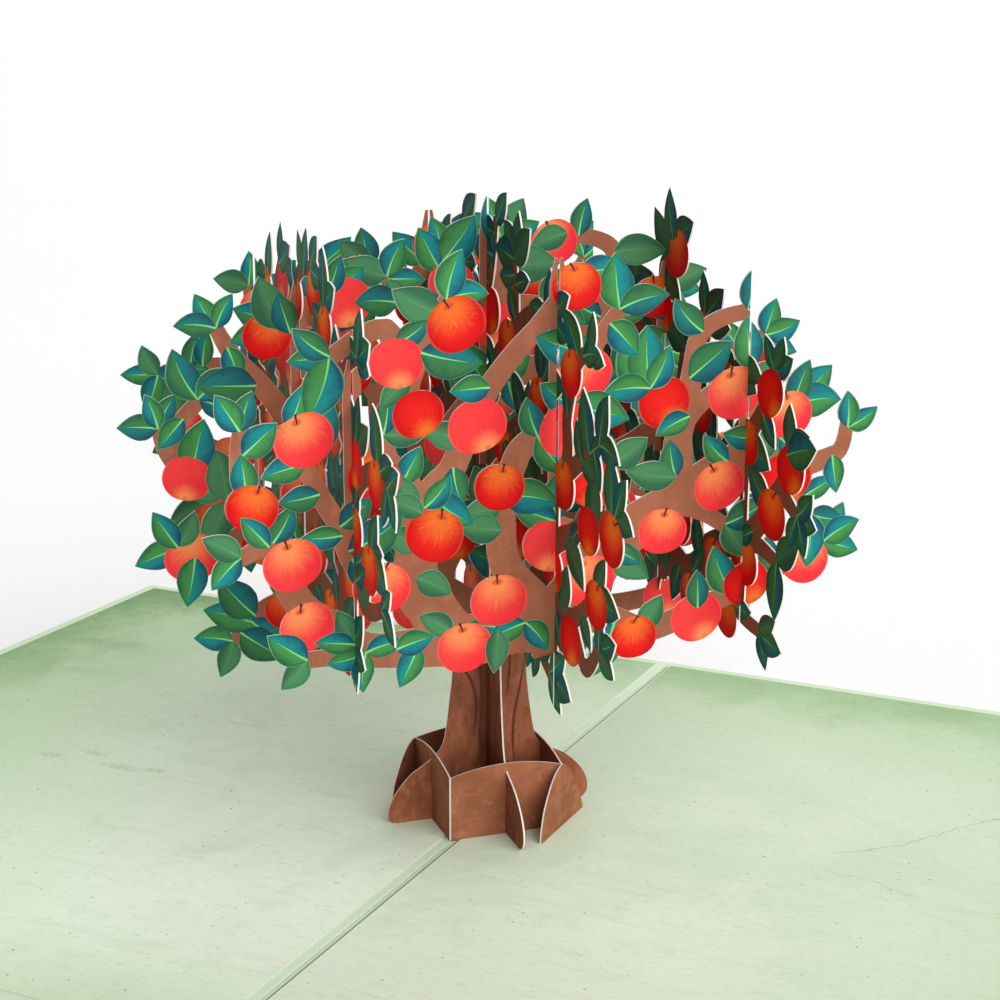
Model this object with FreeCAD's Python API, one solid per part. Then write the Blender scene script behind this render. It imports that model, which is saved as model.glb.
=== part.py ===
import FreeCAD, Part
import math
import os

# Open pop up card with a slotted tree.  Millimetres, +Z up.  The card lies open and
# flat: X runs across the spine, Y along it, and the origin is on the table under the
# middle of the spine.  The slices stand in two families at 45 degrees to the spine:
# family A runs along U = (1, 1)/sqrt2, family B along V = (1, -1)/sqrt2.

# ---- driving dimensions, millimetres ---------------------------------------
PAGE_W = 150.0             # one leaf, spine to fore edge
PAGE_L = 200.0             # along the spine
BORDER = 3.0               # cover showing round each liner
GAP_LEFT = 2.0             # cover showing beside the fold, left
GAP_RIGHT = 1.5            # and right
CREASE_W = 0.7             # scored fold line
CREASE_D = 0.08
D = 15.66                  # half diagonal of the root box
PITCH = 2.25 * D           # spacing of the crossing slices, both ways
WALL = D / math.sqrt(2.0)  # root walls, distance from the lattice centre
SHEET = 0.30               # slice card
SLOT = 0.40                # slot width for that card
COVER_T = 0.45             # outer cover card
LINER_T = 0.30             # liner paper
PAGE_Z = COVER_T + LINER_T # height of the page surface above the table
ROOT_SPLIT = 6.4           # height where root slices and walls meet in their slots
WALL_CORNER = 12.4         # root wall height at the corners
WALL_RISE = 1.6            # extra height at mid wall
CRACK = 0.17               # depth of the opened score outside each fold of the root box
# outline of a support panel above the page: (along the spine, height)
SUPPORT = ((-9.9, 0.0), (-9.6, 2.1), (-8.9, 4.3), (-8.0, 6.3), (-5.7, 9.3), (-3.4, 11.3), (-1.5, 12.15), (-0.1, 12.4),
           (0.9, 12.0), (2.4, 11.0), (4.8, 8.95), (7.1, 5.9), (8.7, 3.0), (9.8, 0.0))
CLEAR = 0.05


class Lcg:
    def __init__(self, seed):
        self.s = (seed * 2654435761 + 12345) & 0xFFFFFFFF

    def u(self, a=0.0, b=1.0):
        self.s = (1664525 * self.s + 1013904223) & 0xFFFFFFFF
        return a + (b - a) * ((self.s >> 8) / 16777216.0)


# ---- crown outline of one slice --------------------------------------------
def half_width(kind, z):
    """Half width of the crown at height z, both in D."""
    if kind == "centre":
        tab = ((1.95, 0.0), (2.05, 2.6), (2.5, 3.3), (3.1, 3.75), (4.0, 4.1), (5.0, 4.2), (5.6, 4.05),
               (6.1, 3.5), (6.6, 2.85), (7.1, 2.05), (7.5, 1.25), (7.75, 0.4), (7.8, 0.0))
    else:
        tab = ((2.35, 0.0), (2.5, 2.3), (2.9, 2.9), (3.4, 3.35), (4.1, 3.7), (5.0, 3.8), (5.5, 3.7),
               (5.9, 3.0), (6.4, 2.4), (6.9, 1.8), (7.25, 1.0), (7.45, 0.0))
    if z <= tab[0][0] or z >= tab[-1][0]:
        return 0.0
    for (za, wa), (zb, wb) in zip(tab, tab[1:]):
        if z <= zb:
            return wa + (wb - wa) * (z - za) / (zb - za)
    return 0.0


def inside(kind, s, z, margin):
    """True when (s, z) lies in the crown outline shrunk by margin (in D)."""
    if half_width(kind, z) <= 0.0:
        return False
    n = 12
    for i in range(n):
        a = 2 * math.pi * i / n
        if abs(s + margin * math.cos(a)) > half_width(kind, z + margin * math.sin(a)):
            return False
    return True


# ---- motif outlines ---------------------------------------------------------
def bez(p0, p1, p2, t):
    a, b, c = (1 - t) ** 2, 2 * t * (1 - t), t * t
    return (a * p0[0] + b * p1[0] + c * p2[0], a * p0[1] + b * p1[1] + c * p2[1])


def ribbon(path, widths, cap):
    """Closed outline of a tapered stroke along path, with a pointed or round start."""
    left, right = [], []
    n = len(path)
    for i, p in enumerate(path):
        q0, q1 = path[max(0, i - 1)], path[min(n - 1, i + 1)]
        dx, dy = q1[0] - q0[0], q1[1] - q0[1]
        m = math.hypot(dx, dy) or 1.0
        nx, ny = -dy / m, dx / m
        w = widths[i] * 0.5
        left.append((p[0] + nx * w, p[1] + ny * w))
        right.append((p[0] - nx * w, p[1] - ny * w))
    p, q = path[0], path[1]
    m = math.hypot(q[0] - p[0], q[1] - p[1]) or 1.0
    start = (p[0] - (q[0] - p[0]) / m * widths[0] * 0.45, p[1] - (q[1] - p[1]) / m * widths[0] * 0.45)
    out = [start] + right
    if cap:
        p, q = path[-1], path[-2]
        m = math.hypot(q[0] - p[0], q[1] - p[1]) or 1.0
        out.append((p[0] - (q[0] - p[0]) / m * widths[-1] * 0.45, p[1] - (q[1] - p[1]) / m * widths[-1] * 0.45))
    return out + left[::-1]


def crosses(a, b, c, d):
    """True when the segments ab and cd cross."""
    def side(p, q, r):
        return (q[0] - p[0]) * (r[1] - p[1]) - (q[1] - p[1]) * (r[0] - p[0])
    return side(a, b, c) * side(a, b, d) < 0 and side(c, d, a) * side(c, d, b) < 0


def is_simple(poly):
    n = len(poly)
    for i in range(n):
        for j in range(i + 2, n):
            if i == 0 and j == n - 1:
                continue
            if crosses(poly[i], poly[(i + 1) % n], poly[j], poly[(j + 1) % n]):
                return False
    return True


def hull(points):
    """Convex hull, anticlockwise."""
    pts = sorted(set(points))
    lo, up = [], []
    for seq, out in ((pts, lo), (pts[::-1], up)):
        for p in seq:
            while len(out) > 1 and ((out[-1][0] - out[-2][0]) * (p[1] - out[-2][1])
                                    - (out[-1][1] - out[-2][1]) * (p[0] - out[-2][0])) <= 1e-9:
                out.pop()
            out.append(p)
    return lo[:-1] + up[:-1]


def stroke(path, widths, cap):
    """A tapered stroke as one simple outline, or as convex lengths where it bends too tightly."""
    whole = ribbon(path, widths, cap)
    if is_simple(whole):
        return [whole]
    out = []
    for i in range(len(path) - 1):
        pts = []
        for p, w in ((path[i], widths[i]), (path[i + 1], widths[i + 1])):
            for k in range(8):
                a = math.pi * (k + 0.5) / 4.0
                pts.append((round(p[0] + 0.54 * w * math.cos(a), 4), round(p[1] + 0.54 * w * math.sin(a), 4)))
        out.append(hull(pts))
    return out


LEAF_T = (0.0, 0.06, 0.16, 0.30, 0.45, 0.60, 0.74, 0.87, 1.0)
LEAF_W = (0.0, 0.40, 0.74, 0.96, 1.00, 0.88, 0.65, 0.36, 0.0)


def leaf_axis(leaf, t):
    """Point and normal on the bent midrib of a leaf."""
    bx, bz, ang, ln, wd, bend = leaf[:6]
    a = ang + bend * (t - 0.5)
    r = ln * t
    ca, sa = math.cos(ang), math.sin(ang)
    off = bend * ln * 0.5 * (t * t - t)
    return (bx + r * ca - off * sa, bz + r * sa + off * ca), (-math.sin(a), math.cos(a))


def leaf_outline(leaf, shrink=0.0):
    ln, wd = leaf[3], leaf[4]
    up, dn = [], []
    t0 = shrink / ln * 1.2
    for t, w in zip(LEAF_T, LEAF_W):
        tt = t0 + t * (1 - 2.1 * t0)
        p, n = leaf_axis(leaf, tt)
        h = max(0.0, 0.5 * wd * w - (shrink if w > 0 else 0.0))
        up.append((p[0] + n[0] * h, p[1] + n[1] * h))
        dn.append((p[0] - n[0] * h, p[1] - n[1] * h))
    return up[:1] + up[1:-1] + up[-1:] + dn[1:-1][::-1]


def apple_outline(ap, n=26, shrink=0.0):
    cx, cz, r, tilt, v = ap[:5]
    pts = []
    for i in range(n):
        a = 2 * math.pi * i / n
        c, s = math.cos(a), math.sin(a)
        rr = (r - shrink) * (1.0 + 0.035 * math.cos(2 * a) - 0.05 * max(0.0, s) ** 6 - 0.03 * max(0.0, -s) ** 4
                  + 0.012 * math.sin(3 * a + v))
        x, z = rr * c, rr * s * 0.97
        pts.append((cx + x * math.cos(tilt) - z * math.sin(tilt), cz + x * math.sin(tilt) + z * math.cos(tilt)))
    return pts


def point_in(poly, x, y):
    c = False
    j = len(poly) - 1
    for i in range(len(poly)):
        xi, yi = poly[i]
        xj, yj = poly[j]
        if (yi > y) != (yj > y) and x < (xj - xi) * (y - yi) / (yj - yi) + xi:
            c = not c
        j = i
    return c


# ---- one slice of the tree --------------------------------------------------
# half widths of the trunk and its root flare, (distance, height), towards -s and +s
TRUNK_L = ((6.6, 40.0), (6.7, 34.0), (7.05, 28.0), (7.6, 23.5), (8.1, 19.2), (8.8, 15.4), (9.6, 13.8), (11.2, 12.2),
           (13.1, 10.9), (14.9, 9.8), (16.6, 8.2), (18.2, 6.2), (19.3, 4.4), (19.8, 2.8), (19.85, 1.6), (19.5, 0.7),
           (18.9, 0.15), (18.0, 0.0))
TRUNK_R = ((7.3, 40.0), (7.5, 34.0), (7.85, 28.0), (8.35, 23.0), (8.9, 19.0), (9.4, 16.2), (10.1, 14.0), (11.3, 12.4),
           (13.4, 11.3), (15.6, 10.2), (17.6, 8.6), (19.4, 6.6), (20.5, 4.6), (20.9, 2.8), (20.7, 1.5), (20.1, 0.6),
           (19.2, 0.0))


def build_slice(kind, seed, crossings, split, drop):
    """Motifs of one slice in millimetres above the page: a list of (kind, data),
    lowest in the print first.  crossings are the slot lines, split the height where
    the slots of the two families meet, drop is +1 when this slice is slotted from the
    top and -1 from the bottom."""
    rnd = Lcg(seed)
    hub = (0.0, 2.25) if kind == "centre" else (0.0, 3.05)
    # branch targets, evenly spread inside the crown
    tips = []
    tries = 0
    while tries < 2600:
        tries += 1
        s, z = rnd.u(-4.2, 4.2), rnd.u(2.0, 7.7)
        if not inside(kind, s, z, 0.42):
            continue
        if math.hypot(s - hub[0], z - hub[1]) < 0.75:
            continue
        if all((s - a) ** 2 + (z - b) ** 2 > 0.62 ** 2 for a, b in tips):
            tips.append((s, z))
    # a few sprigs stand out past the crown outline
    sprigs = []
    tries = 0
    while tries < 400 and len(sprigs) < 7:
        tries += 1
        z = rnd.u(2.45 if kind == "centre" else 2.9, 6.5)
        s = half_width(kind, z) * (1 if rnd.u() < 0.5 else -1)
        if all(math.hypot(s - a, z - b) > 1.25 for a, b in sprigs):
            sprigs.append((s, z))
            near = [t for t in tips if math.hypot(s - t[0], z - t[1]) > 0.5]
            tips[:] = near + [(s * 0.92, z)]
    tips.sort(key=lambda p: math.hypot(p[0] - hub[0], p[1] - hub[1]))
    nodes = [hub]
    parent = [-1]
    direc = [(0.0, 1.0)]
    for t in tips:
        best, bi = None, 0
        dh = math.hypot(t[0] - hub[0], t[1] - hub[1])
        for i, p in enumerate(nodes):
            d = math.hypot(t[0] - p[0], t[1] - p[1])
            if i and (math.hypot(p[0] - hub[0], p[1] - hub[1]) > dh - 0.12 or d > 2.2):
                continue
            dx, dz = (t[0] - p[0]) / d, (t[1] - p[1]) / d
            turn = 1.0 - (dx * direc[i][0] + dz * direc[i][1])
            cost = d * (1.0 + (0.95 * turn if i else 0.28)) + 0.10 * (0 if i else d)
            if best is None or cost < best:
                best, bi = cost, i
        p = nodes[bi]
        d = math.hypot(t[0] - p[0], t[1] - p[1])
        dx, dz = (t[0] - p[0]) / d, (t[1] - p[1]) / d
        ox, oz = direc[bi]
        mx, mz = dx + (0.25 * ox if bi else 0.0), dz + (0.25 * oz if bi else 0.0)
        m = math.hypot(mx, mz) or 1.0
        nodes.append(t)
        parent.append(bi)
        direc.append((dx * 0.8 + mx / m * 0.2, dz * 0.8 + mz / m * 0.2))
    n = len(nodes)
    load = [1.0] * n
    for i in range(n - 1, 0, -1):
        load[parent[i]] += load[i]
    child = [0] * n
    for i in range(1, n):
        child[parent[i]] += 1

    def width(i):
        return min(0.58, 0.135 * (load[i] ** 0.50) + 0.03) * D

    bark, segs = [], []
    for i in range(1, n):
        p, t = nodes[parent[i]], nodes[i]
        d = math.hypot(t[0] - p[0], t[1] - p[1])
        ox, oz = direc[parent[i]]
        if parent[i] == 0:
            ox, oz = (t[0] - p[0]) / d * 0.6, 0.6
        c = (p[0] + ox * d * 0.42, p[1] + oz * d * 0.42)
        path = [bez(p, c, t, k / 5.0) for k in range(6)]
        path = [(a * D, b * D) for a, b in path]
        w1 = width(i)
        w0 = min(w1 * 1.35 + 0.5, width(parent[i]) if parent[i] else w1 * 1.5 + 1.0)
        if not child[i]:
            # a twig runs a little past its last node and ends in a blunt cut
            q0, q1 = path[-2], path[-1]
            m = math.hypot(q1[0] - q0[0], q1[1] - q0[1])
            path.append((q1[0] + (q1[0] - q0[0]) / m * 1.6, q1[1] + (q1[1] - q0[1]) / m * 1.6))
        ws = [w0 + (w1 - w0) * k / (len(path) - 1.0) for k in range(len(path))]
        for part in stroke(path, ws, bool(child[i])):
            bark.append((load[i], part))
        for k in range(len(path) - 1):
            segs.append((path[k], path[k + 1], ws[k]))
    bark.sort(key=lambda b: b[0])
    motifs = []
    if kind == "centre":
        motifs.append(("trunk", [(-x, z) for x, z in TRUNK_L][::-1] + list(TRUNK_R)))
    # spines beside the slots keep the cut parts of a slice together
    tops = {}
    spines = []
    for c in crossings:
        zt = 0.0
        for k in range(78 * 4):
            z = k * 0.1
            if half_width(kind, z) > abs(c) / D + 0.25:
                zt = z * D
        zb = 99.0 * D
        for k in range(78 * 4, 0, -1):
            z = k * 0.1
            if half_width(kind, z) > abs(c) / D + 0.25:
                zb = z * D
        tops[c] = (zb, zt)
        if drop > 0:
            lo, hi = split - 3.0, zt - 4.0 + rnd.u(-2, 3)
        else:
            lo, hi = (zb + 4.0 if not (kind == "centre" and c == 0) else 30.0), split + 3.0
        spines.append((c, lo, hi))
        for sg in (-1.0, 1.0):
            a, b = 0.0, 1.55
            if drop > 0:
                motifs.append(("spine", [(c, lo), (c + sg * b, lo), (c + sg * b, hi - 4.0), (c + sg * 0.7, hi), (c, hi)][::int(sg)]))
            else:
                motifs.append(("spine", [(c, lo), (c + sg * 0.8, lo), (c + sg * b, lo + 4.0), (c + sg * b, hi), (c, hi)][::int(sg)]))
    for _, b in bark:
        motifs.append(("bark", b))
    # apples
    apples = []
    tries = 0
    want = 33 if kind == "centre" else 30
    while tries < 2500 and len(apples) < want:
        tries += 1
        i = 1 + int(rnd.u(0, n - 1.001))
        r = rnd.u(4.2, 5.0)
        s, z = nodes[i][0] * D + rnd.u(-3.4, 3.4), nodes[i][1] * D - rnd.u(0.5, 4.2)
        if not inside(kind, s / D, z / D, 0.31):
            continue
        if all((s - a[0]) ** 2 + (z - a[1]) ** 2 > (rnd.u(8.2, 11.8)) ** 2 for a in apples):
            apples.append((s, z, r, rnd.u(-0.45, 0.45), rnd.u(0, 6.28), 1 if rnd.u() < 0.3 else 0))
    # leaves: at the twig ends, then along the branches, then where the crown is thin
    leaves = []

    def add(bx, bz, ang, ln, wd, free=False):
        tip = (bx + ln * math.cos(ang), bz + ln * math.sin(ang))
        if abs(tip[0]) > half_width(kind, tip[1] / D) * D + 1.5 and not free:
            return False
        leaves.append((bx, bz, ang, ln, wd, rnd.u(-0.55, 0.55), 1 if rnd.u() < 0.5 else 0, rnd.u()))
        return True

    for i in range(1, n):
        if child[i]:
            continue
        dx, dz = direc[i]
        a0 = math.atan2(dz, dx)
        k = 2 if rnd.u() < 0.62 else 3
        fan = rnd.u(0.5, 0.8)
        free = any(abs(nodes[i][0] - a * 0.92) < 1e-6 and abs(nodes[i][1] - b) < 1e-6 for a, b in sprigs)
        for j in range(k):
            a = a0 + (j - (k - 1) / 2.0) * fan * (2.0 if k == 2 else 1.35) + rnd.u(-0.15, 0.15)
            ln = rnd.u(7.2, 10.2) if not free else rnd.u(6.4, 8.4)
            add(nodes[i][0] * D + 0.6 * math.cos(a0), nodes[i][1] * D + 0.6 * math.sin(a0), a, ln, ln * rnd.u(0.56, 0.68), free)
    for i in range(1, n):
        if load[i] > 9 or rnd.u() < 0.62:
            continue
        p, t = nodes[parent[i]], nodes[i]
        f = rnd.u(0.55, 0.95)
        bx, bz = (p[0] + (t[0] - p[0]) * f) * D, (p[1] + (t[1] - p[1]) * f) * D
        a0 = math.atan2(t[1] - p[1], t[0] - p[0])
        ln = rnd.u(7.4, 11.0)
        add(bx, bz, a0 + (1 if rnd.u() < 0.5 else -1) * rnd.u(0.7, 1.25), ln, ln * rnd.u(0.56, 0.72))
    # fill
    polys = [leaf_outline(l) for l in leaves] + [apple_outline(a, 12) for a in apples]
    boxes = [(min(p[0] for p in q), max(p[0] for p in q), min(p[1] for p in q), max(p[1] for p in q)) for q in polys]
    grid = []
    z = 2.2 * D
    while z < 7.7 * D:
        s = -4.2 * D
        while s < 4.2 * D:
            grid.append((s + rnd.u(-1.5, 1.5), z + rnd.u(-1.5, 1.5)))
            s += 4.4
        z += 4.4
    grid.sort(key=lambda g: math.sin(g[0] * 12.9898 + g[1] * 78.233))
    for s, z in grid:
        if not inside(kind, s / D, z / D, 0.16):
            continue
        hit = False
        for q, b in zip(polys, boxes):
            if b[0] - 0.6 < s < b[1] + 0.6 and b[2] - 0.6 < z < b[3] + 0.6 and point_in(q, s, z):
                hit = True
                break
        if hit:
            continue
        best, bp = 1e9, None
        for a, b, w in segs:
            for k in (0.0, 0.5):
                px, pz = a[0] + (b[0] - a[0]) * k, a[1] + (b[1] - a[1]) * k
                d = math.hypot(px - s, pz - z)
                if 2.4 < d < best:
                    best, bp = d, (px, pz)
        if bp is None or best > 6.5:
            continue
        if rnd.u() < 0.60:
            continue
        a = math.atan2(z - bp[1], s - bp[0]) + rnd.u(-0.25, 0.25)
        ln = min(10.8, max(7.0, best * rnd.u(1.6, 2.1)))
        if add(bp[0], bp[1], a, ln, ln * rnd.u(0.55, 0.68)):
            q = leaf_outline(leaves[-1])
            polys.append(q)
            boxes.append((min(p[0] for p in q), max(p[0] for p in q), min(p[1] for p in q), max(p[1] for p in q)))
    # print order: a shuffled mix of leaves and apples over the bark
    top = [("leaf", l, rnd.u()) for l in leaves] + [("apple", a, rnd.u(0.42, 1.0)) for a in apples]
    top.sort(key=lambda m: m[2])
    for k, d, _ in top:
        motifs.append((k, d))
    return motifs


def outline_of(m):
    k, d = m
    if k == "leaf":
        return leaf_outline(d)
    if k == "apple":
        return apple_outline(d)
    return d


SLICES = (
    # name, family, offset, kind, seed, slotted from top (+1) or bottom (-1)
    ("tree_slice_a_front", "A", PITCH, "outer", 11, 1),
    ("tree_slice_a_centre", "A", 0.0, "centre", 23, 1),
    ("tree_slice_a_back", "A", -PITCH, "outer", 37, 1),
    ("tree_slice_b_left", "B", -PITCH, "outer", 41, -1),
    ("tree_slice_b_centre", "B", 0.0, "centre", 59, -1),
    ("tree_slice_b_right", "B", PITCH, "outer", 67, -1),
)
SPLIT = 4.6 * D


V3 = FreeCAD.Vector
R2 = math.sqrt(2.0)


def to_world(fam, off, s, z):
    """Point of a slice: s along the slice, off the distance of its mid plane."""
    if fam == "A":
        u, v = s, off
    else:
        u, v = off, s
    return V3((u + v) / R2, (u - v) / R2, z)


def normal(fam):
    return V3(1 / R2, -1 / R2, 0) if fam == "A" else V3(1 / R2, 1 / R2, 0)


def signed_area(q):
    return 0.5 * sum(q[i][0] * q[(i + 1) % len(q)][1] - q[(i + 1) % len(q)][0] * q[i][1] for i in range(len(q)))


def flat_face(q):
    """Face of a closed outline drawn in the XZ plane, always the same way round."""
    q = [(round(x, 3), round(z, 3)) for x, z in q]
    if signed_area(q) < 0:
        q = q[::-1]
    return Part.Face(Part.makePolygon([V3(x, 0, z) for x, z in q] + [V3(q[0][0], 0, q[0][1])]))


def rect(x0, x1, z0, z1):
    return flat_face([(x0, z0), (x1, z0), (x1, z1), (x0, z1)])


def one_face(shape, name):
    faces = sorted(shape.Faces, key=lambda f: -f.Area)
    lost = sum(f.Area for f in faces[1:])
    if len(faces) > 1:
        print(name, "loose scraps left out:", len(faces) - 1, "area", round(lost, 2))
    return faces[0]


def thicken(face, fam, off):
    """Sheet of card, SHEET thick, from a face drawn in the XZ plane."""
    solid = face.extrude(V3(0, SHEET, 0))
    solid.translate(V3(0, -SHEET / 2, PAGE_Z))
    # XZ plane to the slice plane: X -> U or V, Y -> the slice normal
    if fam == "A":
        ux, uy, vx, vy = 1 / R2, 1 / R2, 1 / R2, -1 / R2
        m = FreeCAD.Matrix(ux, -vx, 0, off * vx, uy, -vy, 0, off * vy, 0, 0, 1, 0, 0, 0, 0, 1)
    else:
        ux, uy, vx, vy = 1 / R2, -1 / R2, 1 / R2, 1 / R2
        m = FreeCAD.Matrix(ux, vx, 0, off * vx, uy, vy, 0, off * vy, 0, 0, 1, 0, 0, 0, 0, 1)
    return solid.transformGeometry(m)


def tree_slice(name, fam, off, kind, seed, drop):
    crossings = (-PITCH, 0.0, PITCH)
    motifs = build_slice(kind, seed, crossings, SPLIT, drop)
    faces = [flat_face(outline_of(m)) for m in motifs]
    union = faces[0].multiFuse(faces[1:]).removeSplitter()
    cuts = []
    for c in crossings:
        if drop > 0:
            cuts.append(rect(c - SLOT / 2, c + SLOT / 2, SPLIT - CLEAR, 9.0 * D))
        else:
            cuts.append(rect(c - SLOT / 2, c + SLOT / 2, -2.0, SPLIT + CLEAR))
    if kind == "centre":
        for c in (-WALL, WALL):
            cuts.append(rect(c - SLOT / 2, c + SLOT / 2, ROOT_SPLIT - CLEAR, 16.0))
    union = union.cut(cuts)
    face = one_face(union, name)
    return thicken(face, fam, off)


def root_wall(fam, off):
    """One panel of the root box, long at both ends, arched on top and slotted below."""
    pts = []
    n = 24
    end = WALL + 1.0
    for i in range(n + 1):
        s = -end + 2 * end * i / n
        pts.append((s, WALL_CORNER + WALL_RISE * (1 - (s / WALL) ** 2)))
    f = flat_face([(-end, 0.0), (end, 0.0)] + pts[::-1])
    f = f.cut([rect(-SLOT / 2, SLOT / 2, -1.0, ROOT_SPLIT + CLEAR)])
    return thicken(one_face(f, "wall"), fam, off)


def block(x0, x1, y0, y1):
    return Part.makeBox(x1 - x0, y1 - y0, 40.0, V3(x0, y0, -5.0))


def root_box(side):
    """Half of the root box: one strip folded over the spine, front (-1) or back (+1).
    Its two ends stand against the inner faces of the support panels, where they are glued.
    The score outside the fold has opened to a narrow flat."""
    w = 100.0
    a = root_wall("A", -side * WALL)
    b = root_wall("B", side * WALL)
    near, far = (-w, 0.0) if side < 0 else (0.0, w)
    # family A panel: from the fold to x = -side * D; family B panel: to x = side * D
    if side < 0:
        a = a.common(block(0.0, D, near, far))
        b = b.common(block(-D, 0.0, near, far))
    else:
        a = a.common(block(-D, 0.0, near, far))
        b = b.common(block(0.0, D, near, far))
    both = a.fuse(b).removeSplitter()
    lip = D + SHEET / R2 - CRACK
    both = both.cut(block(-w, w, -w, -lip) if side < 0 else block(-w, w, lip, w))
    return both


def support(side):
    """Arched panel along the spine, its foot let through a slit in the liner."""
    pts = []
    m = len(SUPPORT)
    for i in range(m - 1):
        p0, p1, p2, p3 = SUPPORT[max(0, i - 1)], SUPPORT[i], SUPPORT[i + 1], SUPPORT[min(m - 1, i + 2)]
        for k in range(3):
            t = k / 3.0
            pts.append(tuple(0.5 * (2 * p1[j] + (p2[j] - p0[j]) * t + (2 * p0[j] - 5 * p1[j] + 4 * p2[j] - p3[j]) * t * t
                                    + (3 * p1[j] - p0[j] - 3 * p2[j] + p3[j]) * t ** 3) for j in (0, 1)))
    pts.append(SUPPORT[-1])
    outline = [(pts[0][0], -LINER_T)] + pts + [(pts[-1][0], -LINER_T)]
    solid = flat_face(outline).extrude(V3(0, SHEET, 0))
    # drawn X -> world Y, drawn Y -> world -X
    m = FreeCAD.Matrix(0, -1, 0, D + SHEET if side > 0 else -D, 1, 0, 0, 0, 0, 0, 1, PAGE_Z, 0, 0, 0, 1)
    return solid.transformGeometry(m)


def cover():
    """The card itself: one sheet with a scored fold down its middle."""
    w, c, d = PAGE_W, CREASE_W / 2, CREASE_D
    q = [(-w, 0), (w, 0), (w, COVER_T), (c, COVER_T), (0, COVER_T - d), (-c, COVER_T), (-w, COVER_T)]
    f = flat_face(q)
    s = f.extrude(V3(0, PAGE_L, 0))
    s.translate(V3(0, -PAGE_L / 2, 0))
    return s


def liner(side):
    """Printed paper glued on one leaf, with the slit for its support panel."""
    x_in = GAP_RIGHT if side > 0 else GAP_LEFT
    x_out = PAGE_W - BORDER
    y = PAGE_L / 2 - BORDER
    b = Part.makeBox(x_out - x_in, 2 * y, LINER_T, V3(x_in if side > 0 else -x_out, -y, COVER_T))
    y0, y1 = SUPPORT[0][0] - CLEAR, SUPPORT[-1][0] + CLEAR
    slit = Part.makeBox(SHEET + 2 * CLEAR, y1 - y0, 2.0, V3((D if side > 0 else -D - SHEET) - CLEAR, y0, COVER_T - 0.5))
    return b.cut(slit)


def save(name, shape):
    solids = shape.Solids
    if len(solids) != 1:
        print("WARNING", name, "has", len(solids), "solids")
    s = solids[0]
    s.exportStep("parts/%s.step" % name)
    bb = s.BoundBox
    print("%-24s %7d faces  vol %9.1f  valid %s  x %.2f..%.2f y %.2f..%.2f z %.2f..%.2f" % (
        name, len(s.Faces), s.Volume, s.isValid(), bb.XMin, bb.XMax, bb.YMin, bb.YMax, bb.ZMin, bb.ZMax))


os.makedirs("parts", exist_ok=True)
save("card_cover", cover())
save("liner_left", liner(-1))
save("liner_right", liner(1))
save("support_left", support(-1))
save("support_right", support(1))
save("root_box_front", root_box(-1))
save("root_box_back", root_box(1))
for name, fam, off, kind, seed, drop in SLICES:
    save(name, tree_slice(name, fam, off, kind, seed, drop))
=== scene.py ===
import math
import bpy
from mathutils import Matrix, Vector
from mathutils.geometry import delaunay_2d_cdt


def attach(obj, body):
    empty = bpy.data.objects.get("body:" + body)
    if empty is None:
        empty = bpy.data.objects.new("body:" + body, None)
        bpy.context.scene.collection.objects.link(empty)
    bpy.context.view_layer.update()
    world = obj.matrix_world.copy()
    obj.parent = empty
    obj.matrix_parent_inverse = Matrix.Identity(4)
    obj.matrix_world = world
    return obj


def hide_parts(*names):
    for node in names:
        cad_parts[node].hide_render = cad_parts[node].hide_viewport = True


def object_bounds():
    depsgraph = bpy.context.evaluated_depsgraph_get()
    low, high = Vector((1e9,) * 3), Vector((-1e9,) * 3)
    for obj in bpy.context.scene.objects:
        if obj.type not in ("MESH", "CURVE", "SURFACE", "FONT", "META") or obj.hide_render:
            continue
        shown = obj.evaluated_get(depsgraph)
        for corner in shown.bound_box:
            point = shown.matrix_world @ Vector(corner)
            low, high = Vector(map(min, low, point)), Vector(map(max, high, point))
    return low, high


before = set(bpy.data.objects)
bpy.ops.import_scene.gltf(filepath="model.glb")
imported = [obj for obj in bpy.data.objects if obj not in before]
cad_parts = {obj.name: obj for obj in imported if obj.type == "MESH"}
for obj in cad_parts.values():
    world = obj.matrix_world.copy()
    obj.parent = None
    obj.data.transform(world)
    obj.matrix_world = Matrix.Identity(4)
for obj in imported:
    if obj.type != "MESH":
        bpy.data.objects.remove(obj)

MM = 0.001
CAD_BOX = [[float(c) for c in p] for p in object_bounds()]

# ---- dimensions and layout of the slices, millimetres ------------------------
D = 15.66                  # half diagonal of the root box
PITCH = 2.25 * D           # spacing of the crossing slices, both ways
WALL = D / math.sqrt(2.0)  # root walls, distance from the lattice centre
SHEET = 0.30               # slice card
SLOT = 0.40                # slot width for that card
COVER_T = 0.45             # outer cover card
LINER_T = 0.30             # liner paper
PAGE_Z = COVER_T + LINER_T # height of the page surface above the table
ROOT_SPLIT = 6.4           # height where root slices and walls meet in their slots
CLEAR = 0.05


class Lcg:
    def __init__(self, seed):
        self.s = (seed * 2654435761 + 12345) & 0xFFFFFFFF

    def u(self, a=0.0, b=1.0):
        self.s = (1664525 * self.s + 1013904223) & 0xFFFFFFFF
        return a + (b - a) * ((self.s >> 8) / 16777216.0)


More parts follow.
